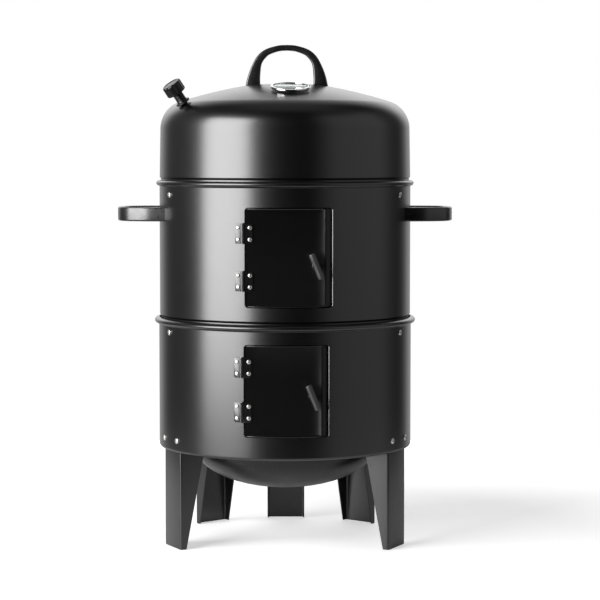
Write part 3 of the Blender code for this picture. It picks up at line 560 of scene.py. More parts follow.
# ------------------------------------------------------------------ tier shells
SEG = 144
lower_line = ([(193.5, LOWER_BOTTOM)] + oval(195.6, 155.4, 4.4, 4.4, -84, 0, 7) + [(LOWER_R, 250.0)]
              + fillet([(LOWER_R, 340.0), (LOWER_R, 346.3), (203.4, 347.3)], [1.2], 4)[1:-1]
              + oval(199.9, 351.4, 6.75, 5.0, -64, 90, 12) + [(199.5, 356.4)])
outline = sheet(lower_line)
shell = make("lower_barrel", lathe(outline, SEG))
slots = [block((-31.3, -0.3, -10), (31.3, 8.0, 12), local_frame(a, around(LEG_PLANE, a, LOWER_BOTTOM))) for a in LEG_ANGLES.values()]
cut(shell, opening(DOORS["lower"]), edge_chamfer(DOORS["lower"]), screw_holes(LOWER_BRACKETS.values(), LOWER_SCREW_Z, LOWER_R), join(*slots))
turned_normals(shell, outline)
finish_piece(shell, "lower_tier", "black_paint", "lower_shell")

upper_line = (fillet([(196.6, 342.0), (196.6, 358.4), (UPPER_R, 361.2), (UPPER_R, 450.0)], [1.8, 1.8], 5)
              + fillet([(UPPER_R, 556.0), (UPPER_R, 562.7), (201.2, 563.6)], [1.2], 4)[1:-1]
              + oval(198.5, 567.4, 5.3, 4.4, -64, 90, 12) + [(198.1, 571.8)])
outline = sheet(upper_line)
shell = make("upper_barrel", lathe(outline, SEG))
cut(shell, opening(DOORS["upper"]), edge_chamfer(DOORS["upper"]), screw_holes(UPPER_BRACKETS.values(), UPPER_SCREW_Z, UPPER_R))
turned_normals(shell, outline)
finish_piece(shell, "upper_tier", "black_paint", "upper_shell")

# ------------------------------------------------------------------ lid
centre_r = LID_R - 1.3 - SHOULDER_R
shoulder = oval(centre_r, SHOULDER_Z, SHOULDER_R, SHOULDER_R, 0, 90 - CROWN_SLOPE, 16)
r_end, z_end = shoulder[-1]
crown_c = (r_end - CROWN_R * math.sin(math.radians(CROWN_SLOPE)), z_end - CROWN_R * math.cos(math.radians(CROWN_SLOPE)))
crown = oval(crown_c[0], crown_c[1], CROWN_R, CROWN_R, 90 - CROWN_SLOPE, 90 - TOP_SLOPE, 14)
r_top, z_top = crown[-1]
top_c = (r_top - TOP_R * math.sin(math.radians(TOP_SLOPE)), z_top - TOP_R * math.cos(math.radians(TOP_SLOPE)))
crown_top = oval(top_c[0], top_c[1], TOP_R, TOP_R, 90 - TOP_SLOPE, 90, 6)
lid_line = (fillet([(LID_SKIRT_R, LID_BOTTOM), (LID_SKIRT_R, LID_STEP - 0.2), (LID_R, LID_STEP + 3.0), (LID_R - 0.5, 610.0)], [1.8, 1.8], 5)
            + shoulder + crown[1:] + crown_top[1:] + [(0.0, top_c[1] + TOP_R)])
LID_TOP = top_c[1] + TOP_R


def lid_height(r):
    """Height and unit normal (outward, up) of the lid's outside on its crown."""
    if r <= top_c[0]:
        return LID_TOP, Vector((0.0, 1.0))
    centre, reach = (crown_c, CROWN_R) if r >= r_top else (top_c, TOP_R)
    dr = r - centre[0]
    h = math.sqrt(reach ** 2 - dr * dr)
    return centre[1] + h, Vector((dr, h)).normalized()


THERMO_R, THERMO_ANGLE = 103.0, 5.0
VENT_R, VENT_ANGLE, VENT_TILT = 176.0, -62.0, math.radians(36.0)
z, n = lid_height(THERMO_R)
thermo_frame = axis_frame((around(n.x, THERMO_ANGLE) + Vector((0, 0, n.y))).normalized(), (1, 0, 0), around(THERMO_R, THERMO_ANGLE, z))
# the vent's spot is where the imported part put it
vent_normal = (around(math.sin(VENT_TILT), VENT_ANGLE) + Vector((0, 0, math.cos(VENT_TILT)))).normalized()
pipe = np.array([v.co for v in NODES["vent_pipe"].data.vertices], float) * 1000.0
along = pipe @ np.array(vent_normal)
ring = pipe[along > along.max() - 0.5]
vent_frame = axis_frame(vent_normal, (1, 0, 0), Vector(ring.mean(0)) - vent_normal * 28.0)

outline = sheet(lid_line)
lid = make("domed_lid", lathe(outline, SEG))
cut(lid, join(rod(3.8, -14, 10, thermo_frame), rod(6.6, -16, 12, vent_frame, 24)))
turned_normals(lid, outline)
finish_piece(lid, "lid", "black_paint", "lid_shell")

# ------------------------------------------------------------------ legs: folded channels with rounded bends
def channel(width, depth, thick, bend, steps=4):
    """The closed outline of a U section. Its web lies on y=0 and its flanges go towards +y."""
    w = width / 2
    outer = fillet([(-w, depth), (-w, 0.0), (w, 0.0), (w, depth)], [bend, bend], steps)
    inner = fillet([(w - thick, depth), (w - thick, thick), (-w + thick, thick), (-w + thick, depth)],
                   [bend - thick + 0.3] * 2, steps)
    return [tuple(p) for p in outer] + [tuple(p) for p in inner]


for name, angle in LEG_ANGLES.items():
    place = local_frame(angle, around(LEG_PLANE, angle))
    loops = []
    for height, depth in ((0.0, 10.5), (1.2, 10.8), (20.0, 14.6), (80.0, 26.7), (150.0, 40.8), (LOWER_BOTTOM, 41.0), (LEG_TOP - 1.0, 41.0), (LEG_TOP, 41.0)):
        loops.append([place @ Vector((x, y, height)) for x, y in channel(62.0, depth, 2.0, 3.6)])
    leg = make(name + "_channel", stack(loops), 28.0)
    soften(leg, 0.45, 2, 55.0)
    finish_piece(leg, "lower_tier", "black_paint", name)


# ------------------------------------------------------------------ screws: pan heads with a cross recess
def screw_mesh(shank, shank_r=2.5, head_r=4.6, head_h=2.45, seg=28):
    """A screw along +Z: its shank ends at -shank and its head starts at 0."""
    head = [(head_r, 0.0), (head_r, 0.45)] + [
        (head_r * math.cos(math.radians(a)) ** 0.8, 0.45 + (head_h - 0.45) * math.sin(math.radians(a))) for a in (15, 30, 45, 60, 75)]
    obj = make("screw_pattern", lathe([(0.0, -shank), (shank_r - 0.5, -shank), (shank_r, -shank + 0.6), (shank_r, 0.0)] + head
                                      + [(0.0, head_h)], seg, None, closed=False))
    arms = []
    for turn in (0.0, 90.0):
        m = Matrix.Rotation(math.radians(turn), 4, "Z")
        v, f = block((-2.35, -0.48, head_h - 1.25), (2.35, 0.48, head_h + 1.0), m)
        arms.append((v, f))
    cut(obj, *arms)
    mesh = obj.data
    shape = ([v.co * 1000.0 for v in mesh.vertices], [list(p.vertices) for p in mesh.polygons])
    bpy.data.objects.remove(obj)
    bpy.data.meshes.remove(mesh)
    return shape


def placed(shape, frame):
    return [frame @ v for v in shape[0]], shape[1]


bracket_screw = screw_mesh(8.3)
leg_screw = screw_mesh(8.0)
for tier, body, angles, r, z in (("lower", "lower_tier", LOWER_BRACKETS, LOWER_R, LOWER_SCREW_Z),
                                 ("upper", "upper_tier", UPPER_BRACKETS, UPPER_R, UPPER_SCREW_Z)):
    for side, angle in angles.items():
        spin = Matrix.Rotation(math.radians({"left": 28.0, "right": 61.0, "rear": 12.0}[side] + (17.0 if tier == "upper" else 0.0)), 4, "Z")
        place = axis_frame(around(1, angle), (0, 0, 1), around(r + 0.35, angle, z)) @ spin
        screw = make("%s_ledge_screw_%s" % (tier, side), placed(bracket_screw, place), 32.0)
        finish_piece(screw, body, "zinc_fastener", "%s_bracket_screw_%s" % (tier, side))
for name, angle in LEG_ANGLES.items():
    pair = []
    for i, offset in enumerate((-6.0, 7.4) if angle < 0 else (6.0, -7.4)):
        spin = Matrix.Rotation(math.radians(19.0 + 47.0 * i + angle), 4, "Z")
        pair.append(placed(leg_screw, axis_frame(around(1, angle + offset), (0, 0, 1), around(LOWER_R + 0.05, angle + offset, LEG_SCREW_Z)) @ spin))
    finish_piece(make(name + "_screws", join(*pair), 32.0), "lower_tier", "zinc_fastener")


# ------------------------------------------------------------------ doors: pressed trays with a raised latch edge
def arc_y(x, r):
    return -math.sqrt(r * r - x * x)


def door_floor(door):
    """The front of the door's sheet: flat from the hinge, swelling forward towards a flange at the latch side.
    The swell is strongest along the top edge and weakest along the bottom edge."""
    x_lo, x_hi = door["x0"] + DOOR_GAP, door["x1"] - DOOR_GAP
    y0 = arc_y(x_lo, door["r"]) + 0.3
    j0, j1 = x_hi - 33.0, x_hi - 10.0
    span, bend, drop = j1 - j0, 2.5, 0.24

    def plain(x):
        return y0 + (x - x_lo) * math.tan(TURN)

    def floor(x, z):
        up = min(1.0, max(0.0, (z - door["z0"]) / (door["z1"] - door["z0"])))
        steep = door["swell"][0] + (door["swell"][1] - door["swell"][0]) * up
        u = min(1.0, max(0.0, (x - j0) / span))
        rise = steep * span * u ** 3.2 / 3.2
        if x > j1:
            t = min(1.0, (x - j1) / bend)
            rise += bend * (steep * t - (steep + drop) * t * t / 2)
            rise -= drop * max(0.0, x - j1 - bend)
        return plain(x) - rise
    return floor, plain, j0, j1


def door_tray(tier, door):
    floor, plain, j0, j1 = door_floor(door)
    x_lo, x_hi = door["x0"] + DOOR_GAP, door["x1"] - DOOR_GAP
    z_lo, z_hi = door["z0"] + DOOR_GAP, door["z1"] - DOOR_GAP
    corner = CORNER_R - DOOR_GAP
    straight = [x_lo + 4.6 + (j0 - x_lo - 5.6) * k / 14 for k in range(15)] + [j0 + (j1 - j0) * k / 16 for k in range(17)] \
        + [j1 + 2.5 * k / 5 for k in range(1, 6)] + [j1 + 2.5 + (x_hi - 4.6 - j1 - 2.5) * k / 2 for k in range(1, 3)]

    def rim(x, z):
        fade = min(1.0, max(0.0, (x_hi - 8.0 - x) / 13.0)) * min(1.0, max(0.0, (x - x_lo) / 10.0))
        return max(0.14, (floor(x, z) - arc_y(x, door["r"] - 0.15)) * fade)

    def rail(inset):
        c = max(0.5, corner - inset)
        a = [math.radians(90.0 * k / 6) for k in range(7)]
        left = [(x_lo + inset + c - c * math.cos(t), z_hi - inset - c + c * math.sin(t)) for t in a]
        right = [(x_hi - inset - c + c * math.sin(t), z_hi - inset - c + c * math.cos(t)) for t in a]
        top = left + [(x, z_hi - inset) for x in straight] + right
        return top + [(x, z_lo + z_hi - z) for x, z in reversed(top)]

    def level(inset, how):
        return [Vector((x, how(x, z), z)) for x, z in rail(inset)]

    def lip(share):
        return lambda x, z: floor(x, z) - rim(x, z) + min(0.5, 0.3 * rim(x, z)) * share

    def foot(share):
        return lambda x, z: floor(x, z) - min(1.2, 0.5 * rim(x, z)) * share

    loops = [level(0.0, lambda x, z: floor(x, z) + SHEET), level(0.0, lip(1.0)), level(0.2, lip(0.25)), level(0.65, lip(0.0)),
             level(1.1, lip(0.25)), level(1.3, lip(1.0)), level(1.3, foot(1.0)), level(1.6, foot(0.3)), level(2.4, floor)]
    n = len(loops[0])
    half = n // 2
    verts = [p for loop in loops for p in loop]
    faces = []
    for s in range(len(loops) - 1):
        faces += [[s * n + k, s * n + (k + 1) % n, (s + 1) * n + (k + 1) % n, (s + 1) * n + k] for k in range(n)]
    last = (len(loops) - 1) * n
    for base in (0, last):
        faces += [[base + k, base + k + 1, base + n - 2 - k, base + n - 1 - k] for k in range(half - 1)]
    door_obj = make(tier + "_door_panel", (verts, faces), 50.0)
    spot, out, bar_dir, frame = latch_place(door)
    cut(door_obj, rod(3.35, -6, 6, frame, 28))
    door_obj.data.shade_smooth()
    door_obj.data.set_sharp_from_angle(angle=math.radians(50.0))
    return door_obj


def latch_place(door):
    floor, plain, _, _ = door_floor(door)
    out = Vector((math.sin(TURN), -math.cos(TURN), 0.0))
    spot = Vector((door["latch_x"], plain(door["latch_x"]), door["latch_z"]))
    lean = math.radians(22.5)
    side = Vector((0, 0, 1)).cross(out) * -1.0
    side = side if side.x > 0 else -side
    bar_dir = Vector((0, 0, 1)) * math.cos(lean) - side * math.sin(lean)
    return spot, out, bar_dir, axis_frame(out, bar_dir, spot)


def dome(r=3.35, high=1.65, seg=24, frame=None):
    return lathe([(0.0, -0.3), (r, -0.3), (r, 0.22), (r * 0.95, 0.62), (r * 0.8, 1.05), (r * 0.55, 1.42), (r * 0.28, high * 0.97), (0.0, high)],
                 seg, frame, closed=False)


def knuckle(k, low, high):
    return lathe([(1.29, low), (2.1, low), (2.3, low + 0.22), (2.3, high - 0.22), (2.1, high), (1.29, high)], 32,
                 Matrix.Translation((k.x, k.y, 0.0)))


def hinge(tier, body, which, door, z_mid):
    r = door["r"]
    k = Vector((door["hinge_x"], -math.sqrt((r + 3.5) ** 2 - door["hinge_x"] ** 2)))
    name = "%s_hinge_%s" % (tier, which)
    # the leaf on the shell
    angle = math.degrees(math.atan2(k.x, -k.y)) - 2.35
    tangent = Vector((math.cos(math.radians(angle)), math.sin(math.radians(angle)), 0.0))
    radial = around(1.0, angle)
    base = radial * (r + 0.38)
    s_k = (Vector((k.x, k.y, 0)) - base).dot(tangent)
    place = axis_frame(radial, tangent, base + Vector((0, 0, z_mid)))
    flip = 1.0 if (place.to_3x3() @ Vector((0, 1, 0))).z > 0 else -1.0
    plate = slab(s_k - 13.0, s_k - 0.7, -HINGE_HALF, HINGE_HALF, 2.2, 1.1, 0.3, place)
    leaf = make(name + "_shell_leaf", join(plate, knuckle(k, z_mid + KNUCKLE_MID + 0.3, z_mid + HINGE_HALF),
                                           knuckle(k, z_mid - HINGE_HALF, z_mid - KNUCKLE_MID - 0.3)), 40.0)
    finish_piece(leaf, body, "hinge_black", name + "_frame_leaf")
    rivets = [dome(frame=place @ Matrix.Translation((s_k - 7.9, flip * dz, 1.1))) for dz in (-8.9, 8.9)]
    finish_piece(make(name + "_shell_rivets", join(*rivets), 40.0), body, "zinc_fastener")
    # the leaf on the door
    floor, plain, _, _ = door_floor(door)
    along = Vector((math.cos(TURN), math.sin(TURN), 0.0))
    out = Vector((math.sin(TURN), -math.cos(TURN), 0.0))
    x_lo = door["x0"] + DOOR_GAP
    base = Vector((x_lo, plain(x_lo), 0.0)) + out * 0.75
    s_k = (Vector((k.x, k.y, 0)) - base).dot(along)
    place = axis_frame(out, along, base + Vector((0, 0, z_mid)))
    plate = slab(s_k + 0.7, s_k + 15.0, -HINGE_HALF, HINGE_HALF, 2.2, 1.1, 0.3, place)
    leaf = make(name + "_panel_leaf", join(plate, knuckle(k, z_mid - KNUCKLE_MID, z_mid + KNUCKLE_MID)), 40.0)
    finish_piece(leaf, tier + "_door", "hinge_black", name + "_door_leaf")
    rivets = [dome(frame=place @ Matrix.Translation((s_k + 11.3, dz, 1.1))) for dz in (-8.9, 8.9)]
    finish_piece(make(name + "_panel_rivets", join(*rivets), 40.0), tier + "_door", "zinc_fastener")


for tier, door in DOORS.items():
    body = tier + "_tier"
    finish_piece(door_tray(tier, door), tier + "_door", "black_paint", tier + "_door")
    for which, z_mid in zip(("top", "bottom"), door["hinge_z"]):
        hinge(tier, body, which, door, z_mid)
    spot, out, bar_dir, place = latch_place(door)
    # a collar on the door round the spindle, and the turned cross bar
    collar = lathe([(3.2, 0.0), (5.7, 0.0), (5.7, 0.6), (5.3, 1.0), (3.8, 1.3), (3.2, 1.2)], 36, place)
    finish_piece(make(tier + "_latch_collar", collar, 30.0), tier + "_door", "hinge_black")
    grip = axis_frame(bar_dir, out, spot + out * 16.0)
    bar = [(0.0, -20.0), (4.0, -20.0), (4.6, -19.75), (4.9, -19.3), (5.0, -18.6), (5.0, -9.0), (4.9, -4.0), (4.85, 0.0),
           (4.9, 4.0), (5.0, 9.0), (5.0, 18.6), (4.9, 19.3), (4.6, 19.75), (4.0, 20.0), (0.0, 20.0)]
    finish_piece(make(tier + "_latch_grip", lathe(bar, 40, grip, closed=False), 40.0), tier + "_latch", "latch_black", tier + "_latch_bar")


# ------------------------------------------------------------------ handles
def curve_through(points, steps):
    pts = [Vector(p) for p in points]
    ext = [pts[0] * 2 - pts[1]] + pts + [pts[-1] * 2 - pts[-2]]
    out = []
    for i in range(1, len(ext) - 2):
        a, b, c, d = ext[i - 1], ext[i], ext[i + 1], ext[i + 2]
        for s in range(steps):
            t = s / steps
            out.append(0.5 * ((2 * b) + (c - a) * t + (2 * a - 5 * b + 4 * c - d) * t * t + (3 * b - a - 3 * c + d) * t ** 3))
    return out + [pts[-1]]


def arch_rails(foot, steps=6):
    """Outer and inner contours of a moulded handle as equal lists of (along, outward), right foot to left foot."""
    def half(sign):
        outer = curve_through([(65.0, foot(sign * 65.0)), (61.5, 15.0), (55.8, 30.5), (46.5, 47.0), (33.5, 57.4), (14.5, 63.3), (0.0, 64.4)], steps)
        inner = curve_through([(42.0, foot(sign * 42.0)), (42.0, 16.0), (39.6, 35.0), (31.5, 46.5), (24.0, 51.0), (12.0, 54.8), (0.0, 55.8)], steps)
        return [(sign * p.x, p.y) for p in outer], [(sign * p.x, p.y) for p in inner]
    out_r, in_r = half(1.0)
    out_l, in_l = half(-1.0)
    return out_r + out_l[-2::-1], in_r + in_l[-2::-1]


def handle_shape(foot, place, width=22.0, edge=2.6):
    """A solid handle whose section at each step is a rounded rectangle between the two contours."""
    outer, inner = arch_rails(foot)
    count = len(outer)
    rings = []
    for i in range(count):
        a, b = Vector(inner[i]), Vector(outer[i])
        half = (b - a).length / 2
        mid, u = (a + b) / 2, (b - a).normalized()
        r = min(edge, half * 0.8)
        ring = []
        for cx, cy, start in ((half - r, width / 2 - r, 0), (-(half - r), width / 2 - r, 90), (-(half - r), -(width / 2 - r), 180), (half - r, -(width / 2 - r), 270)):
            for s in range(5):
                t = math.radians(start + 90.0 * s / 4)
                p = mid + u * (cx + r * math.cos(t))
                ring.append(place @ Vector((p.x, p.y, cy + r * math.sin(t))))
        rings.append(ring)
    return stack(rings)


touch, base_x = UPPER_R + 0.45, 264.6 - 64.4
for side, sign in (("left", -1.0), ("right", 1.0)):
    # along -> Y, outward -> X, width -> Z
    place = Matrix(((0, sign, 0, sign * base_x), (1, 0, 0, 0), (0, 0, 1, 519.0), (0, 0, 0, 1)))
    handle = make("side_grip_" + side, handle_shape(lambda u: math.sqrt(touch ** 2 - u * u) - base_x, place), 50.0)
    finish_piece(handle, "upper_tier", "handle_black", "side_handle_" + side)
    heads = []
    for y in (-53.5, 53.5):
        ang = math.degrees(math.atan2(sign * math.sqrt(UPPER_R ** 2 - y * y), -y))
        place_s = axis_frame(-around(1, ang), (0, 0, 1), around(UPPER_R - SHEET - 0.05, ang, 519.0))
        heads.append(placed(screw_mesh(4.0), place_s))
    finish_piece(make("side_grip_%s_screws" % side, join(*heads), 32.0), "upper_tier", "zinc_fastener")

base_z = 784.4 - 64.4
place = Matrix(((1, 0, 0, 3.0), (0, 0, -1, 0), (0, 1, 0, base_z), (0, 0, 0, 1)))
handle = make("lid_grip", handle_shape(lambda u: lid_height(abs(u + 3.0))[0] + 0.45 - base_z, place), 50.0)
finish_piece(handle, "lid", "handle_black", "lid_handle")


# ------------------------------------------------------------------ grates: round wire in a ring
def tube(points, r, seg=10):
    """A round wire along a line of points, with flat ends."""
    verts, faces = [], []
    pts = [Vector(p) for p in points]
    rings = []
    for i, p in enumerate(pts):
        d = (pts[min(i + 1, len(pts) - 1)] - pts[max(i - 1, 0)]).normalized()
        side = d.cross(Vector((0, 0, 1))).normalized()
        up = side.cross(d)
        rings.append([p + (side * math.cos(2 * math.pi * k / seg) + up * math.sin(2 * math.pi * k / seg)) * r for k in range(seg)])
    return stack(rings)


def wire_grate(name, body, node, r, seg=96):
    lo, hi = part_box(node)
    mid = (lo.z + hi.z) * 500.0
    wire = 2.0
    loops = []
    for k in range(seg):
        a = 360.0 * k / seg
        loops.append([around(r - wire + wire * math.cos(2 * math.pi * s / 12), a, mid + wire * math.sin(2 * math.pi * s / 12)) for s in range(12)])
    verts = [p for loop in loops for p in loop]
    faces = [[k * 12 + s, ((k + 1) % seg) * 12 + s, ((k + 1) % seg) * 12 + (s + 1) % 12, k * 12 + (s + 1) % 12] for k in range(seg) for s in range(12)]
    shapes = [(verts, faces)]
    pitch = 2.0 * (r - 8.0) / 14
    for k in range(13):
        x = -(r - 8.0) + pitch * (k + 1)
        half = math.sqrt((r - 2.0) ** 2 - x * x) - 0.6
        # the bars bow a hair and meet the ring at its middle
        line = [(x, -half + 2 * half * t / 8, mid - 0.1 + 0.22 * math.sin(math.pi * t / 8)) for t in range(9)]
        shapes.append(tube(line, 1.7))
    for y in (-0.42 * r, 0.42 * r):
        half = math.sqrt((r - 2.0) ** 2 - y * y) - 0.6
        shapes.append(tube([(-half + 2 * half * t / 8, y, mid - 0.35) for t in range(9)], 1.45))
    grate = make(name, join(*shapes), 50.0)
    finish_piece(grate, body, "grate_chrome", node)


wire_grate("lower_wire_grate", "lower_grate", "lower_grate", 178.0)
wire_grate("upper_wire_grate", "upper_grate", "upper_grate", 180.0)

# ------------------------------------------------------------------ bowls
BOWL_A, BOWL_B, BOWL_MID, BOWL_FLOOR = 145.0, 66.0, 150.0, 87.5
start = math.asin((BOWL_MID - BOWL_FLOOR) / BOWL_B)
line = [(0.0, BOWL_FLOOR), (30.0, BOWL_FLOOR)]
for k in range(13):
    a = start * (1 - k / 12)
    line.append((BOWL_A * math.cos(a), BOWL_MID - BOWL_B * math.sin(a)))
line = line[:-1] + fillet([line[-1], (150.0, LEG_TOP + 0.3), (172.0, LEG_TOP + 0.3)], [4.0], 6)
profile = sheet(line)
finish_piece(make("charcoal_pan", lathe(profile, 120, None, closed=False), 40.0), "charcoal_bowl", "bowl_enamel", "charcoal_bowl")

rim_z = 323.3
line = fillet([(0.0, rim_z - 60.0), (157.0, rim_z - 60.0), (169.0, rim_z), (181.0, rim_z)], [6.0, 2.5], 7)
profile = sheet(line)
finish_piece(make("water_pan", lathe(profile, 120, None, closed=False), 40.0), "water_bowl", "bowl_enamel", "water_bowl")

# ------------------------------------------------------------------ thermometer
c = 31.0
profile = ([(4.0, 1.3), (c - 3.0, 1.3)] + oval(c - 2.2, 3.5, 2.2, 2.2, -80, 0, 6) + [(c, 4.3)]
           + oval(c - 1.0, 4.4, 1.0, 1.0, 0, 80, 6) + [(c - 1.6, 5.4), (c - 3.4, 5.4), (c - 3.9, 5.2), (c - 4.1, 4.8), (c - 4.1, 2.6), (4.0, 2.6)])
finish_piece(make("gauge_bezel", lathe(profile, 96, thermo_frame), 40.0), "lid", "bezel_chrome", "thermometer_case")
face = lathe([(0.0, 2.8), (26.4, 2.8), (26.6, 3.0), (26.6, 3.45), (26.4, 3.6), (0.0, 3.6)], 96, thermo_frame, closed=False)
finish_piece(make("gauge_dial", face, 40.0), "lid", "dial_face", "thermometer_dial")
finish_piece(make("gauge_glass", lathe([(0.0, 4.45), (26.4, 4.45), (26.6, 4.55), (26.6, 4.85), (26.3, 5.0), (0.0, 5.05)], 96, thermo_frame, closed=False), 40.0),
             "lid", "gauge_glass", "thermometer_glass")
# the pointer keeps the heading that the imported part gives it
inverse = thermo_frame.inverted()
tip = max((inverse @ (v.co * 1000.0) for v in NODES["thermometer_needle"].data.vertices), key=lambda v: v.x * v.x + v.y * v.y)
heading = thermo_frame @ Matrix.Rotation(math.atan2(tip.y, tip.x), 4, "Z")
pointer = prism([(-6.5, -1.1), (-6.0, -1.35), (-2.0, -0.9), (18.5, -0.4), (20.0, 0.0), (18.5, 0.4), (-2.0, 0.9), (-6.0, 1.35), (-6.5, 1.1)], 3.82, 4.08, heading)
hub = lathe([(0.0, 3.7), (2.6, 3.7), (2.75, 3.8), (2.75, 4.0), (2.4, 4.18), (1.4, 4.27), (0.0, 4.3)], 32, heading, closed=False)
finish_piece(make("gauge_needle", join(pointer, hub), 35.0), "thermometer_needle", "needle_black", "thermometer_needle")


def dial_mark(angle, r0, r1, width, low=3.61, high=3.69):
    """A printed tick. Angle is clockwise from the dial's top."""
    a = math.radians(90.0 - angle)
    m = thermo_frame @ Matrix.Rotation(a, 4, "Z")
    return block((r0, -width / 2, low), (r1, width / 2, high), m)


marks = []
for k in range(55):
    angle = -135.0 + 270.0 * k / 54
    long = k % 6 == 0
    marks.append(dial_mark(angle, 20.6 if long else 22.2, 24.3, 0.4 if long else 0.18))
band, n = [], 60
for k in range(n + 1):
    t = math.radians(90.0 - (-135.0 + 270.0 * k / n))
    band.append(((24.3 * math.cos(t), 24.3 * math.sin(t)), (24.8 * math.cos(t), 24.8 * math.sin(t))))
marks.append(prism([p[1] for p in band] + [p[0] for p in reversed(band)], 3.61, 3.68, thermo_frame))
finish_piece(make("gauge_scale", join(*marks), 30.0, smooth=False), "lid", "needle_black")
for k in range(10):
    text = bpy.data.curves.new("figures", "FONT")
    text.body = str(50 * k)
    text.size = 3.0
    text.align_x, text.align_y = "CENTER", "CENTER"
    text.extrude = 0.04
    holder = bpy.data.objects.new("figures", text)
    bpy.context.scene.collection.objects.link(holder)
    bpy.context.view_layer.update()
    mesh = bpy.data.meshes.new_from_object(holder.evaluated_get(bpy.context.evaluated_depsgraph_get()))
    t = math.radians(90.0 - (-135.0 + 30.0 * k))
    move = thermo_frame @ Matrix.Translation((16.9 * math.cos(t), 16.9 * math.sin(t), 3.66))
    mesh.transform(Matrix.Scale(0.001, 4) @ move)
    bpy.data.objects.remove(holder)
    bpy.data.curves.remove(text)
    figure = bpy.data.objects.new("gauge_figure_%d" % (50 * k), mesh)
    bpy.context.scene.collection.objects.link(figure)
    finish_piece(figure, "lid", "needle_black")

# ------------------------------------------------------------------ vent
thread = []
for k in range(9):
    z0 = 8.4 + 2.6 * k
    thread += [(7.5, z0), (8.0, z0 + 0.8), (8.0, z0 + 1.5), (7.5, z0 + 2.3)]
profile = ([(4.6, -9.0), (5.6, -9.0), (5.8, -8.7), (5.8, 2.2), (11.4, 2.2)] + oval(10.7, 3.3, 0.9, 1.1, -30, 70, 5)
           + fillet([(10.2, 4.6), (8.4, 5.2), (7.8, 7.8)], [1.6], 5) + thread + [(7.8, 32.5), (7.5, 33.0), (6.1, 33.0), (5.8, 32.7), (4.6, 25.0)])
finish_piece(make("vent_stack", lathe(profile, 64, vent_frame), 35.0), "lid", "vent_black", "vent_pipe")


def lobed(r, z, turn):
    if r < 10.0 or z < 21.0 or z > 37.4:
        return r
    groove = (0.5 - 0.5 * math.cos(6.0 * turn + 0.6)) ** 3
    return r - 1.5 * groove * min(1.0, (r - 10.0) / 4.0)


profile = [(8.4, 20.7), (8.7, 20.5), (13.9, 20.5)] + oval(14.0, 22.0, 1.5, 1.5, -80, 0, 5) + [(15.5, 24.5), (15.5, 29.0), (15.5, 34.2)] \
    + oval(13.4, 34.7, 2.1, 3.1, 10, 80, 6) + [(12.4, 37.85), (11.2, 37.6), (10.6, 37.2), (7.0, 37.4), (0.0, 37.7), (0.0, 34.0), (8.0, 34.0), (8.4, 33.6)]
verts, faces = lathe(profile, 144, vent_frame, closed=True, shape=lobed)
finish_piece(make("vent_knob", (verts, faces), 45.0), "vent_cap", "vent_black", "vent_cap")

# ------------------------------------------------------------------ carried-over CAD nodes
for name, obj in NODES.items():
    if not obj.hide_render:
        obj.data.materials.clear()
        obj.data.materials.append(MATERIALS[SLOT_OF[name]])

# ------------------------------------------------------------------ floor, light, camera
bm = bmesh.new()
bmesh.ops.create_circle(bm, cap_ends=True, radius=0.9, segments=128)
mesh = bpy.data.meshes.new("floor")
bm.to_mesh(mesh)
bm.free()
floor_obj = bpy.data.objects.new("floor", mesh)
floor_obj.location = (0.0, 0.3, -0.0004)
bpy.context.scene.collection.objects.link(floor_obj)
mat, tree, shader = nodes_of("pale_floor")
coord = tree.nodes.new("ShaderNodeTexCoord").outputs["Object"]
tree.links.new(blend_colours(tree, spread(tree, noise(tree, coord, 3.0, 3.0), 0.3, 0.7, 0.0, 1.0), (0.84, 0.84, 0.84), (0.88, 0.88, 0.88)), shader.inputs["Base Color"])
tree.links.new(spread(tree, noise(tree, coord, 25.0, 3.0), 0.3, 0.7, 0.75, 0.85), shader.inputs["Roughness"])
shader.inputs["Specular IOR Level"].default_value = 0.2
shader.inputs["Emission Color"].default_value = (1.0, 1.0, 1.0, 1.0)
# painted light: the floor glows, half as strongly near the object as further out, standing in for backdrop lamps that
# wash it to white; rays other than camera rays get a tenth of the glow
measure = tree.nodes.new("ShaderNodeVectorMath")
measure.operation = "LENGTH"
tree.links.new(coord, measure.inputs[0])
shift = tree.nodes.new("ShaderNodeMapping")
shift.inputs["Location"].default_value = (0.0, 0.3, 0.0)
tree.links.new(coord, shift.inputs["Vector"])
tree.links.new(shift.outputs["Vector"], measure.inputs[0])
# painted light: the floor's glow, set by distance and by ray type
painted_glow = tree.nodes.new("ShaderNodeMath")
painted_glow.operation = "MULTIPLY"
tree.links.new(spread(tree, measure.outputs["Value"], 0.5, 1.1, 0.5, 1.0), painted_glow.inputs[0])
tree.links.new(spread(tree, tree.nodes.new("ShaderNodeLightPath").outputs["Is Camera Ray"], 0.0, 1.0, 0.1, 1.0), painted_glow.inputs[1])
tree.links.new(painted_glow.outputs["Value"], shader.inputs["Emission Strength"])
mesh.materials.append(mat)

world = bpy.data.worlds.new("studio")
bpy.context.scene.world = world
world.use_nodes = True
tree = world.node_tree
tree.nodes.clear()


def ramp(value, stops):
    node = tree.nodes.new("ShaderNodeValToRGB")
    node.color_ramp.interpolation = "LINEAR"
    node.color_ramp.elements[0].position = stops[0][0]
    node.color_ramp.elements[0].color = (stops[0][1],) * 3 + (1.0,)
    node.color_ramp.elements[1].position = stops[-1][0]
    node.color_ramp.elements[1].color = (stops[-1][1],) * 3 + (1.0,)
    for at, v in stops[1:-1]:
        e = node.color_ramp.elements.new(at)
        e.color = (v, v, v, 1.0)
    tree.links.new(value, node.inputs["Fac"])
    return node.outputs["Color"]


def maths(op, a, b=None):
    node = tree.nodes.new("ShaderNodeMath")
    node.operation = op
    for value, socket in ((a, node.inputs[0]), (b, node.inputs[1])):
        if value is None:
            continue
        if isinstance(value, (int, float)):
            socket.default_value = value
        else:
            tree.links.new(value, socket)
    return node.outputs["Value"]


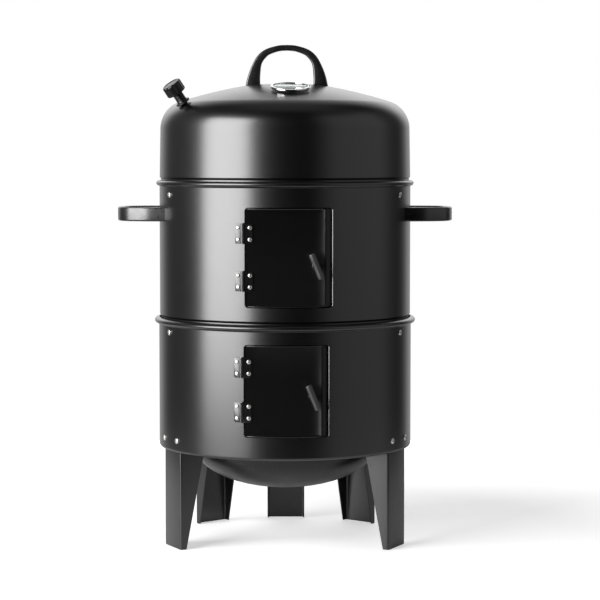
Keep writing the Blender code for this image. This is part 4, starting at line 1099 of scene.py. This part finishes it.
def between(fac, a, b):
    node = tree.nodes.new("ShaderNodeMix")
    node.data_type = "FLOAT"
    for value, socket in ((fac, node.inputs[0]), (a, node.inputs[2]), (b, node.inputs[3])):
        if isinstance(value, (int, float)):
            socket.default_value = value
        else:
            tree.links.new(value, socket)
    return node.outputs[0]


split = tree.nodes.new("ShaderNodeSeparateXYZ")
tree.links.new(tree.nodes.new("ShaderNodeTexCoord").outputs["Generated"], split.inputs["Vector"])
azimuth = maths("DIVIDE", maths("ARCTAN2", split.outputs["X"], maths("MULTIPLY", split.outputs["Y"], -1.0)), 2 * math.pi)
azimuth = maths("ADD", azimuth, 0.5)
height = maths("ADD", maths("DIVIDE", maths("ARCSINE", split.outputs["Z"]), math.pi), 0.5)


def at_az(a):
    return (a + 180.0) / 360.0


def at_el(e):
    return (e + 90.0) / 180.0


sides = ramp(azimuth, [(at_az(-180), 0.16), (at_az(-110), 0.16), (at_az(-90), 0.17), (at_az(-76), 0.16), (at_az(-32), 0.06), (at_az(-26), 0.02),
                       (at_az(26), 0.01), (at_az(36), 0.2), (at_az(46), 0.42), (at_az(98), 0.42), (at_az(112), 0.16), (at_az(122), 0.07), (at_az(180), 0.07)])
by_height = ramp(height, [(at_el(-90), 0.3), (at_el(-25), 0.35), (at_el(-6), 0.7), (at_el(2), 1.0), (at_el(35), 1.0), (at_el(50), 0.28), (at_el(90), 0.28)])
behind = ramp(height, [(at_el(-90), 0.2), (at_el(-10), 0.35), (at_el(0), 0.4), (at_el(20), 1.0), (at_el(28), 0.78), (at_el(36), 0.42), (at_el(50), 0.22), (at_el(90), 0.16)])
is_behind = ramp(azimuth, [(at_az(-180), 1.0), (at_az(-152), 1.0), (at_az(-136), 0.0), (at_az(136), 0.0), (at_az(152), 1.0), (at_az(180), 1.0)])
overhead = ramp(height, [(at_el(-90), 0.0), (at_el(60), 0.0), (at_el(74), 1.0), (at_el(90), 1.0)])
light = between(is_behind, maths("MULTIPLY", sides, by_height), maths("MULTIPLY", behind, 2.0))
light = between(overhead, light, 0.2)
path = tree.nodes.new("ShaderNodeLightPath")
light = between(path.outputs["Is Camera Ray"], light, 1.0)
background = tree.nodes.new("ShaderNodeBackground")
background.inputs["Color"].default_value = (1.0, 1.0, 1.0, 1.0)
tree.links.new(light, background.inputs["Strength"])
tree.links.new(background.outputs["Background"], tree.nodes.new("ShaderNodeOutputWorld").inputs["Surface"])

KEY_AZ, KEY_DIST, KEY_W, KEY_H, KEY_RADIANCE = -53.0, 2.2, 1.82, 2.0, 9.0
lamp = bpy.data.lights.new("softbox", "AREA")
lamp.shape = "RECTANGLE"
lamp.size, lamp.size_y = KEY_W, KEY_H
lamp.energy = KEY_RADIANCE * math.pi * KEY_W * KEY_H
key = bpy.data.objects.new("softbox", lamp)
key.location = around(KEY_DIST, KEY_AZ, KEY_H / 2 + 0.02)
key.rotation_euler = (Vector((0.0, 0.0, KEY_H / 2 + 0.02)) - key.location).to_track_quat("-Z", "Y").to_euler()
key.visible_camera = False
bpy.context.scene.collection.objects.link(key)

camera = bpy.data.cameras.new("camera")
camera.lens, camera.sensor_width = 130.3, 36.0
camera.clip_end = 50.0
eye = bpy.data.objects.new("camera", camera)
eye.location = (0.0238, -3.448, 0.622)
eye.rotation_euler = (Vector((0.0238, 0.0, 0.381)) - eye.location).to_track_quat("-Z", "Y").to_euler()
bpy.context.scene.collection.objects.link(eye)
bpy.context.scene.camera = eye
bpy.context.scene.view_settings.view_transform = "Standard"
